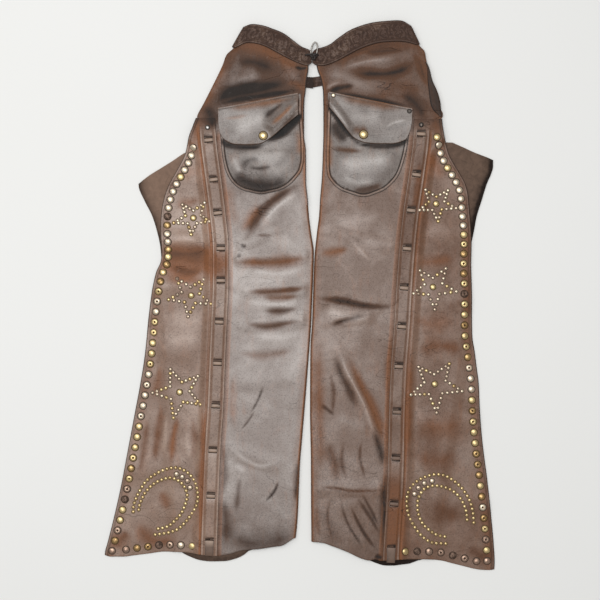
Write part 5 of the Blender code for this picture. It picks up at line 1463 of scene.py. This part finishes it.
# Small parts set along lines: one tree puts a shape at each place, facing and turned as the place says
def setting_tree():
    tree = bpy.data.node_groups.new("set_small_parts", "GeometryNodeTree")
    sockets = {}
    tree.interface.new_socket("Geometry", in_out="OUTPUT", socket_type="NodeSocketGeometry")
    wanted = (
        ("Places", "NodeSocketGeometry"), ("Shape", "NodeSocketObject"), ("Finish", "NodeSocketMaterial"),
        ("Size", "NodeSocketFloat"), ("Uneven Size", "NodeSocketFloat"), ("Spin", "NodeSocketFloat"),
        ("Seed", "NodeSocketInt"),
    )
    for name, kind in wanted:
        sockets[name] = tree.interface.new_socket(name, in_out="INPUT", socket_type=kind).identifier
    nodes, links = tree.nodes, tree.links
    start, end = nodes.new("NodeGroupInput"), nodes.new("NodeGroupOutput")

    def node(kind, settings, inputs):
        made = nodes.new(kind)
        for key, value in settings.items():
            setattr(made, key, value)
        for key, value in inputs.items():
            if isinstance(value, bpy.types.NodeSocket):
                links.new(value, made.inputs[key])
            else:
                made.inputs[key].default_value = value
        return made.outputs

    def named(kind, name):
        return node("GeometryNodeInputNamedAttribute", {"data_type": kind}, {"Name": name})[0]

    shape = node(
        "GeometryNodeObjectInfo", {}, {"Object": start.outputs["Shape"], "As Instance": True},
    )["Geometry"]
    facing = node(
        "FunctionNodeAlignRotationToVector", {"axis": "Z"}, {"Vector": named("FLOAT_VECTOR", "facing")},
    )[0]
    turned_to = node(
        "FunctionNodeAlignRotationToVector", {"axis": "X", "pivot_axis": "Z"},
        {"Rotation": facing, "Vector": named("FLOAT_VECTOR", "ahead")},
    )[0]
    angle = node(
        "FunctionNodeRandomValue", {"data_type": "FLOAT"},
        {2: 0.0, 3: start.outputs["Spin"], "Seed": start.outputs["Seed"]},
    )[1]
    spin = node("FunctionNodeAxisAngleToRotation", {}, {"Axis": (0, 0, 1), "Angle": angle})[0]
    rotation = node(
        "FunctionNodeRotateRotation", {"rotation_space": "LOCAL"},
        {"Rotation": turned_to, "Rotate By": spin},
    )[0]
    more = node(
        "FunctionNodeRandomValue", {"data_type": "FLOAT"},
        {2: 0.0, 3: start.outputs["Uneven Size"], "Seed": start.outputs["Seed"]},
    )[1]
    own = node(
        "ShaderNodeMath", {"operation": "MULTIPLY"}, {0: named("FLOAT", "size"), 1: start.outputs["Size"]},
    )[0]
    grown = node("ShaderNodeMath", {"operation": "ADD"}, {0: own, 1: more})[0]
    placed = node(
        "GeometryNodeInstanceOnPoints", {},
        {"Points": start.outputs["Places"], "Instance": shape, "Rotation": rotation, "Scale": grown},
    )[0]
    real = node("GeometryNodeRealizeInstances", {}, {"Geometry": placed})[0]
    dressed = node("GeometryNodeSetMaterial", {}, {"Geometry": real, "Material": start.outputs["Finish"]})[0]
    links.new(dressed, end.inputs[0])
    return tree, sockets


def set_parts(name, kit, shape, material, places, facing, ahead, sizes, tones, spin, uneven, seed):
    tree, sockets = kit
    holder = bpy.data.meshes.new(name)
    holder.from_pydata(np.asarray(places).tolist(), [], [])
    for key, values in (("facing", facing), ("ahead", ahead)):
        data = holder.attributes.new(key, "FLOAT_VECTOR", "POINT").data
        data.foreach_set("vector", np.ascontiguousarray(values, np.float32).ravel())
    write_marks(holder, {"size": sizes, "tone": tones})
    item = make_piece(name, holder, None)
    modifier = item.modifiers.new("parts", "NODES")
    modifier.node_group = tree
    inputs = {
        "Shape": shape, "Finish": material, "Size": 1.0, "Uneven Size": uneven, "Spin": spin, "Seed": seed,
    }
    for key, value in inputs.items():
        modifier[sockets[key]] = value
    return keep_result(item)


# Places on the wing's outer face: points, facing and a sideways run
def on_wing(side, plan):
    x, y = np.array(plan, float).T
    step = 2.2

    def top(px, py):
        return wing_faces(side, px, py)[1]

    z = top(x, y)
    slope_x = (top(x + step, y) - top(x - step, y)) / (2 * step) * PER_MM
    slope_y = (top(x, y + step) - top(x, y - step)) / (2 * step) * PER_MM
    facing = np.stack([-slope_x, slope_y, np.ones_like(x)], -1)
    facing /= np.linalg.norm(facing, axis=1, keepdims=True)
    ahead = np.tile([1.0, 0.0, 0.0], (len(x), 1))
    return place(x, y, z), facing, ahead


# Plan places of the large spots along the wing's outer edge and hem
def edge_spots(side):
    inward = side["inward"]
    inset = side["spot_inset"]
    y = np.arange(side["spot_first"], side["spot_last"] + 0.01, 0.5)
    slope = (along(side["wing"], y + 2) - along(side["wing"], y - 2)) / 4
    length = np.hypot(1, slope)
    line_x = along(side["wing"], y) + inward * inset / length
    line = np.stack([line_x, y - inward * inset * slope / length], -1)
    travel = travelled(line)
    k = np.arange(EDGE_SPOTS - 1)
    pitch = blend(8.5, 11.3, soft(k / 24))
    if side["spot_trough"] is not None:
        at = blend(side["spot_first"], side["spot_last"], (k + 1) / EDGE_SPOTS * 0.9)
        pitch = pitch * (1 - 0.22 * soft(1 - np.abs(at - side["spot_trough"]) / 34))
    reached = np.concatenate([[0], np.cumsum(pitch)]) * travel[-1] / pitch.sum()
    spots = [tuple(np.interp(d, travel, line[:, m]) for m in range(2)) for d in reached]
    first, last, inset = side["hem_spots"]
    for x in np.linspace(first, last, HEM_SPOTS):
        spots.append((x, float(along(side["wing_hem"], x)) - inset))
    return spots


# Five pointed star: equal steps from each tip to the notch and on to the next tip
def star_spots(x, y, steps, tips):
    depth = 0.52
    corners = []
    for a, b in zip(tips, tips[1:] + tips[:1]):
        corners.append(a)
        corners.append((blend(x, (a[0] + b[0]) / 2, depth), blend(y, (a[1] + b[1]) / 2, depth)))
    spots = []
    for a, b in zip(corners, corners[1:] + corners[:1]):
        spots.extend([(blend(a[0], b[0], t / steps), blend(a[1], b[1], t / steps)) for t in range(steps)])
    return spots


def metal_spots(side, kit, finishes):
    tag = side["tag"]
    random = np.random.default_rng(11 if side["inward"] > 0 else 12)
    # Each head has a flat skirt at its foot that the metal finish paints dark as its shadow
    dome = [
        (6.95, -0.9), (6.95, 0.12), (6.1, 0.25), (5.75, 0.9), (5.0, 1.5), (3.7, 2.1), (2.2, 2.45),
        (0.9, 2.58),
    ]
    dimple = dome[:-2] + [(2.4, 2.4), (1.9, 2.2), (1.6, 1.2), (0.9, 0.9)]
    little = [(3.7, -0.5), (3.7, 0.1), (2.9, 0.15), (2.6, 0.8), (1.8, 1.4), (0.8, 1.65)]
    middle = [(5.95, -0.5), (5.95, 0.12), (5.15, 0.25), (4.75, 0.95), (3.6, 1.75), (2.0, 2.2), (0.8, 2.35)]
    shapes = {
        kind: make_piece(kind + "_spot", turned(kind + "_spot", rings, sides, tone=None, hollow=hollow), None)
        for kind, rings, sides, hollow in (
            ("plain", dome, SPOT_SIDES, 0), ("dimpled", dimple, SPOT_SIDES, 2),
            ("small", little, SMALL_SPOT_SIDES, 0), ("middle", middle, MIDDLE_SPOT_SIDES, 0),
        )
    }
    plan = edge_spots(side)
    letters = side["metals"]
    tones = {"n": 0.12, "b": 0.15, "d": 0.8, "p": 0.85, "k": 1.3}
    nickel = np.array([letter in "nNpPkK" for letter in letters])
    holed = np.array([letter.isupper() for letter in letters])
    tone = np.array([tones[letter.lower()] for letter in letters]) + random.random(len(plan)) * 0.15
    made = []

    def add(kind, metal, where, tones, seed, size=1.0):
        if not len(where):
            return
        shape = shapes["middle" if kind == "toe" else kind]
        item = set_parts(
            f"spots_{kind}_{metal}_{tag}", kit, shape, finishes[metal], *on_wing(side, where),
            np.full(len(where), size), tones, math.tau, SPOT_UNEVEN, seed,
        )
        made.append((item, metal))

    plan = np.array(plan)
    for kind, some in (("plain", ~holed), ("dimpled", holed)):
        for metal, chosen in (("nickel", nickel), ("brass", ~nickel)):
            pick = some & chosen
            add(kind, metal, plan[pick], tone[pick], 3)
    small = []
    for x, y, steps, tips in side["stars"]:
        small.extend(star_spots(x, y, steps, tips))
    small = np.array(small)
    silver = random.random(len(small)) < (0.6 if side["inward"] > 0 else 0.85)
    add("small", "nickel", small[silver], random.random(silver.sum()) * 0.5, 5)
    outer_row = even_points(side["shoe_outer"], SHOE_OUTER_SPOTS)
    inner_row = even_points(side["shoe_inner"], SHOE_INNER_SPOTS)
    shoes = np.concatenate([small[~silver], outer_row, inner_row])
    add("small", "brass", shoes, random.random(len(shoes)) * 0.45, 7)
    middles = np.array([row[:2] for row in side["stars"]])
    add("middle", "brass", middles, np.full(3, 0.15), 9)
    add("toe", "nickel", side["shoe_toe"], np.array([0.2, 0.35, 0.6, 0.4]), 9, 0.84)
    for item in shapes.values():
        bpy.data.objects.remove(item)
    return made


# Stitches in a line, each a short lump of thread
def stitch_line(name, kit, material, points, pitch):
    p = np.array(points, float)
    travel = travelled(p)
    at = np.arange(pitch / 2, travel[-1], pitch)
    places = np.stack([np.interp(at, travel, p[:, k]) for k in range(3)], -1)
    ahead = np.stack([np.interp(at + pitch * 0.2, travel, p[:, k]) for k in range(3)], -1) - places
    ahead /= np.linalg.norm(ahead, axis=1, keepdims=True)
    facing = np.tile([0.0, 0.0, 1.0], (len(at), 1))
    arch = [(t * 1.35 * MM, 0, (0.28 - 0.5 * t * t) * MM) for t in np.linspace(-1, 1, 5)]
    shape_points, shape_faces = bar(arch, 0.34 * MM, 6, False)
    mesh = bpy.data.meshes.new("stitch")
    mesh.from_pydata(shape_points.tolist(), [], shape_faces)
    smooth_faces(mesh)
    shape = make_piece("stitch_shape", mesh, None)
    same, clean = np.ones(len(at)), np.zeros(len(at))
    item = set_parts(name, kit, shape, material, places, facing, ahead, same, clean, 0.12, 0.1, 4)
    bpy.data.objects.remove(shape)
    return item


def flap_stitches(side, kit, material):
    table = side["flap"]
    x = np.linspace(table[0][0] + 2.2, table[-1][0] - 2.2, 60)
    y = along(table, x, 1) + 2.0
    base = WING_OVER_FRONT + 2 * POUCH_THICK + GAP - 0.2
    return stitch_line("stitches_flap_" + side["tag"], kit, material, place(x, y, base), STITCH_PITCH)


def pouch_stitches(side, kit, material):
    table = side["pouch"]
    low = table[-1][0]
    y = np.concatenate([np.linspace(150, low, 60), np.linspace(low, 150, 60)[1:]])
    edge = np.where(np.arange(119) < 60, along(table, y, 1), along(table, y, 2))
    line = np.stack([edge, y], -1)
    run = np.gradient(line, axis=0)
    run /= np.linalg.norm(run, axis=1, keepdims=True)
    normal = np.stack([run[:, 1], -run[:, 0]], -1)
    at = line + normal * 3.7
    at[:, 1] = np.minimum(at[:, 1], low - 3.4)
    stitch_level = 8.75
    path = place(at[:, 0], at[:, 1], stitch_level)
    return stitch_line("stitches_pouch_" + side["tag"], kit, material, path, STITCH_PITCH)


# Wire ring caught in the thong, and the thong's knot between the belt ends
def ring_piece(material):
    around = []
    centre = place(314.1, 51.0, 11.7)
    half_wide, half_long, wire = 5.3 * MM, 14.6 * MM, 1.3 * MM
    lean = -0.16
    for a in np.linspace(0, math.tau, 56, endpoint=False):
        px, py = half_wide * math.cos(a), half_long * math.sin(a)
        turned_x = px * math.cos(lean) - py * math.sin(lean)
        turned_y = px * math.sin(lean) + py * math.cos(lean)
        around.append(centre + np.array([turned_x, turned_y, 0]))
    return bars_piece("front_ring", [bar(around, wire, 12, True)], material, {"rim": 0.2, "tone": 0.3})


def knot_piece(material):
    centre = place(313.6, 56.9, 15.6)
    loops = []
    for a in np.linspace(0, math.tau, 72, endpoint=False):
        x = math.sin(a) + 1.7 * math.sin(2 * a)
        y = math.cos(a) - 1.7 * math.cos(2 * a)
        loops.append(centre + np.array([x * 1.95, y * 1.85, -1.05 * math.sin(3 * a)]) * MM)
    left, right = (place(x, TIE_Y, 0) for x in TIE_HOLES)
    strands = []
    for end, sign in ((left, -1), (right, 1)):
        path = [
            centre + np.array([sign * 3.0, 1.5, -1.0]) * MM,
            np.array([blend(centre[0], end[0], 0.65), end[1] + 0.6 * MM, 14.0 * MM]),
            np.array([end[0] - sign * 0.6 * MM, end[1], 13.2 * MM]),
            np.array([end[0], end[1], 11.4 * MM]), np.array([end[0], end[1], 6.0 * MM]),
        ]
        strands.append(bar(smooth_line(path, 6), 1.35 * MM, 10, False))
    under = [
        np.array([left[0], left[1], 5.4 * MM]),
        np.array([0.5 * (left[0] + right[0]), left[1], 5.3 * MM]),
        np.array([right[0], right[1], 5.4 * MM]),
    ]
    strands.append(bar(smooth_line(under, 6), 1.3 * MM, 10, False))
    strands.append(bar(loops, 2.3 * MM, 10, True))
    return bars_piece("front_knot", strands, material, {"tan": 0.0, "dark": 0.55})


def stand_for(item, node):
    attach(item, "root")
    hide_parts(node)


def dress():
    rust_tan, near_black = (150, 94, 54), (32, 22, 16)
    leg_flesh = (148, 120, 102)
    # The second colour of each worn hide is the grey of its painted sheen
    looks = {
        "leg": worn_leather(
            "waxed_leg_hide", (88, 63, 48), (165, 153, 146), rust_tan, near_black, leg_flesh, 0.56,
        ),
        "right_leg": worn_leather(
            "crazed_leg_hide", (88, 62, 46), (170, 152, 141), rust_tan, near_black, leg_flesh, 0.58, 0.3,
        ),
        "wing": worn_leather(
            "waxed_wing_hide", (94, 66, 49), (172, 148, 132), (150, 94, 56), (34, 23, 17), (112, 88, 74),
            0.62, 0.1,
        ),
        "pocket": worn_leather(
            "waxed_pocket_hide", (78, 62, 53), (160, 151, 145), (146, 98, 64), (20, 16, 14), (104, 84, 72),
            0.5, 0.5,
        ),
        "belt": tooled_leather("tooled_belt_hide", (80, 54, 40), (132, 104, 84), (40, 26, 19), (96, 74, 60)),
        "lace": lace_hide("lace_hide", (98, 72, 58), (160, 134, 114), (24, 18, 15)),
        "thong": lace_hide("thong_hide", (46, 34, 28), (80, 60, 50), (16, 13, 12)),
        "brass": worn_metal("worn_brass", (232, 210, 158), (172, 138, 92), (78, 56, 28), 0.36),
        "nickel": worn_metal("worn_nickel", (236, 222, 196), (172, 142, 124), (66, 48, 36), 0.36),
        "steel": worn_metal("ring_steel", (170, 166, 160), (92, 84, 78), (40, 34, 30), 0.3),
        "thread": sewing_thread("waxed_thread", (120, 92, 70)),
    }
    kit = setting_tree()
    for side in (LEFT, RIGHT):
        left = side["inward"] > 0
        tag = side["tag"]
        slots = slot_boxes(side)
        leg = leg_piece(side, looks["leg"] if left else looks["right_leg"], slots)
        wing = wing_piece(side, looks["wing"], slots)
        bpy.data.objects.remove(slots)
        lace = lace_piece(side, looks["lace"])
        pouch = pouch_piece(side, looks["pocket"])
        flap = flap_piece(side, looks["pocket"])
        belt = belt_piece(side, looks["belt"])
        spots = metal_spots(side, kit, looks)
        flap_thread = flap_stitches(side, kit, looks["thread"])
        pouch_thread = pouch_stitches(side, kit, looks["thread"])
        snap_at = place(*side["snap"], SNAP_LEVEL)
        cap = [
            (8.4, -0.6), (8.2, 0.2), (7.4, 0.9), (6.6, 1.2), (6.0, 1.4), (5.2, 2.2), (3.4, 2.8), (1.4, 3.0),
        ]
        snap = make_piece("pocket_snap_" + tag, turned("snap", cap, 32, snap_at, 0.1), looks["brass"])
        rivet_at = place(*side["top_rivet"], RIVET_LEVEL)
        button = [(4.4, -1.2), (4.4, 0.1), (3.9, 0.3), (3.5, 1.2), (2.5, 1.8), (1.0, 2.0)]
        rivet_tone = 0.25 if left else 0.95
        rivet = make_piece(
            "top_rivet_" + tag, turned("rivet", button, 24, rivet_at, rivet_tone), looks["steel"],
        )
        for item, node, slot in (
            (leg, "leg_", "leg_leather"), (wing, "wing_", "wing_leather"), (lace, "lace_", "lace_leather"),
            (pouch, "pouch_", "pocket_leather"), (flap, "flap_", "pocket_leather"),
            (belt, "belt_", "belt_leather"), (snap, "snap_", "brass"), (rivet, "lace_rivet_", "steel"),
        ):
            stand_for(item, node + tag)
        for item, metal in spots:
            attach(item, "root")
            "brass" if metal == "brass" else "steel"
        for item in (flap_thread, pouch_thread):
            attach(item, "root")
    facing = facing_piece(looks["leg"])
    stand_for(facing, "hip_facing_right")
    button = [(4.2, -0.5), (4.2, 0.1), (3.7, 0.3), (3.3, 1.2), (2.4, 1.8), (1.0, 2.0)]
    for name, x, y, tone, finish, slot in (
        ("flap_rivet_inner", 333.4, 95.6, 0.0, "nickel", "brass"),
        ("flap_rivet_outer", 409.2, 111.4, 0.8, "steel", "steel"),
    ):
        rivet = make_piece(
            "pocket_" + name, turned(name, button, 24, place(x, y, SNAP_LEVEL), tone), looks[finish],
        )
        stand_for(rivet, name)
    stand_for(ring_piece(looks["steel"]), "tie_ring")
    stand_for(knot_piece(looks["thong"]), "front_tie")


# Floor, light and camera
def light_up():
    mesh = bpy.data.meshes.new("floor")
    reach = 4
    corners = [(-reach, -reach, 0), (reach, -reach, 0), (reach, reach, 0), (-reach, reach, 0)]
    mesh.from_pydata(corners, [], [(0, 1, 2, 3)])
    floor = make_piece("floor", mesh, floor_finish("pale_floor"))
    sky_strength = 0.34
    world = bpy.data.worlds.new("studio")
    world.use_nodes = True
    world.node_tree.nodes["Background"].inputs["Color"].default_value = (1.0, 1.0, 1.0, 1.0)
    world.node_tree.nodes["Background"].inputs["Strength"].default_value = sky_strength
    bpy.context.scene.world = world
    for name, at, wide, long, power in (
        ("softbox_overhead", (-0.3, 0.35, 3.5), 1.5, 1.9, 72.0),
        ("softbox_side", (-1.7, 1.2, 2.0), 1.0, 1.0, 10.0),
    ):
        lamp = bpy.data.lights.new(name, "AREA")
        lamp.shape = "RECTANGLE"
        lamp.size = wide
        lamp.size_y = long
        lamp.energy = power
        item = bpy.data.objects.new(name, lamp)
        item.location = at
        aim = np.array([0, 0, 0]) - np.array(at)
        from_up = math.atan2(math.hypot(aim[0], aim[1]), -aim[2])
        item.rotation_euler = (from_up, 0, math.atan2(aim[1], aim[0]) - math.pi / 2)
        bpy.context.scene.collection.objects.link(item)


def stand_camera():
    height = 3.0
    sharp_level = 0.007
    sensor = 36.0
    pixels = 600
    centre = place(300.0, 300.0, 0.0)
    lens = bpy.data.cameras.new("overhead")
    lens.sensor_width = sensor
    lens.lens = sensor * (height - sharp_level) / (pixels * UNIT)
    lens.clip_end = 20.0
    camera = bpy.data.objects.new("overhead", lens)
    camera.location = (centre[0], centre[1], height)
    bpy.context.scene.collection.objects.link(camera)
    bpy.context.scene.camera = camera
    bpy.context.scene.view_settings.view_transform = "Standard"


dress()
light_up()
stand_camera()
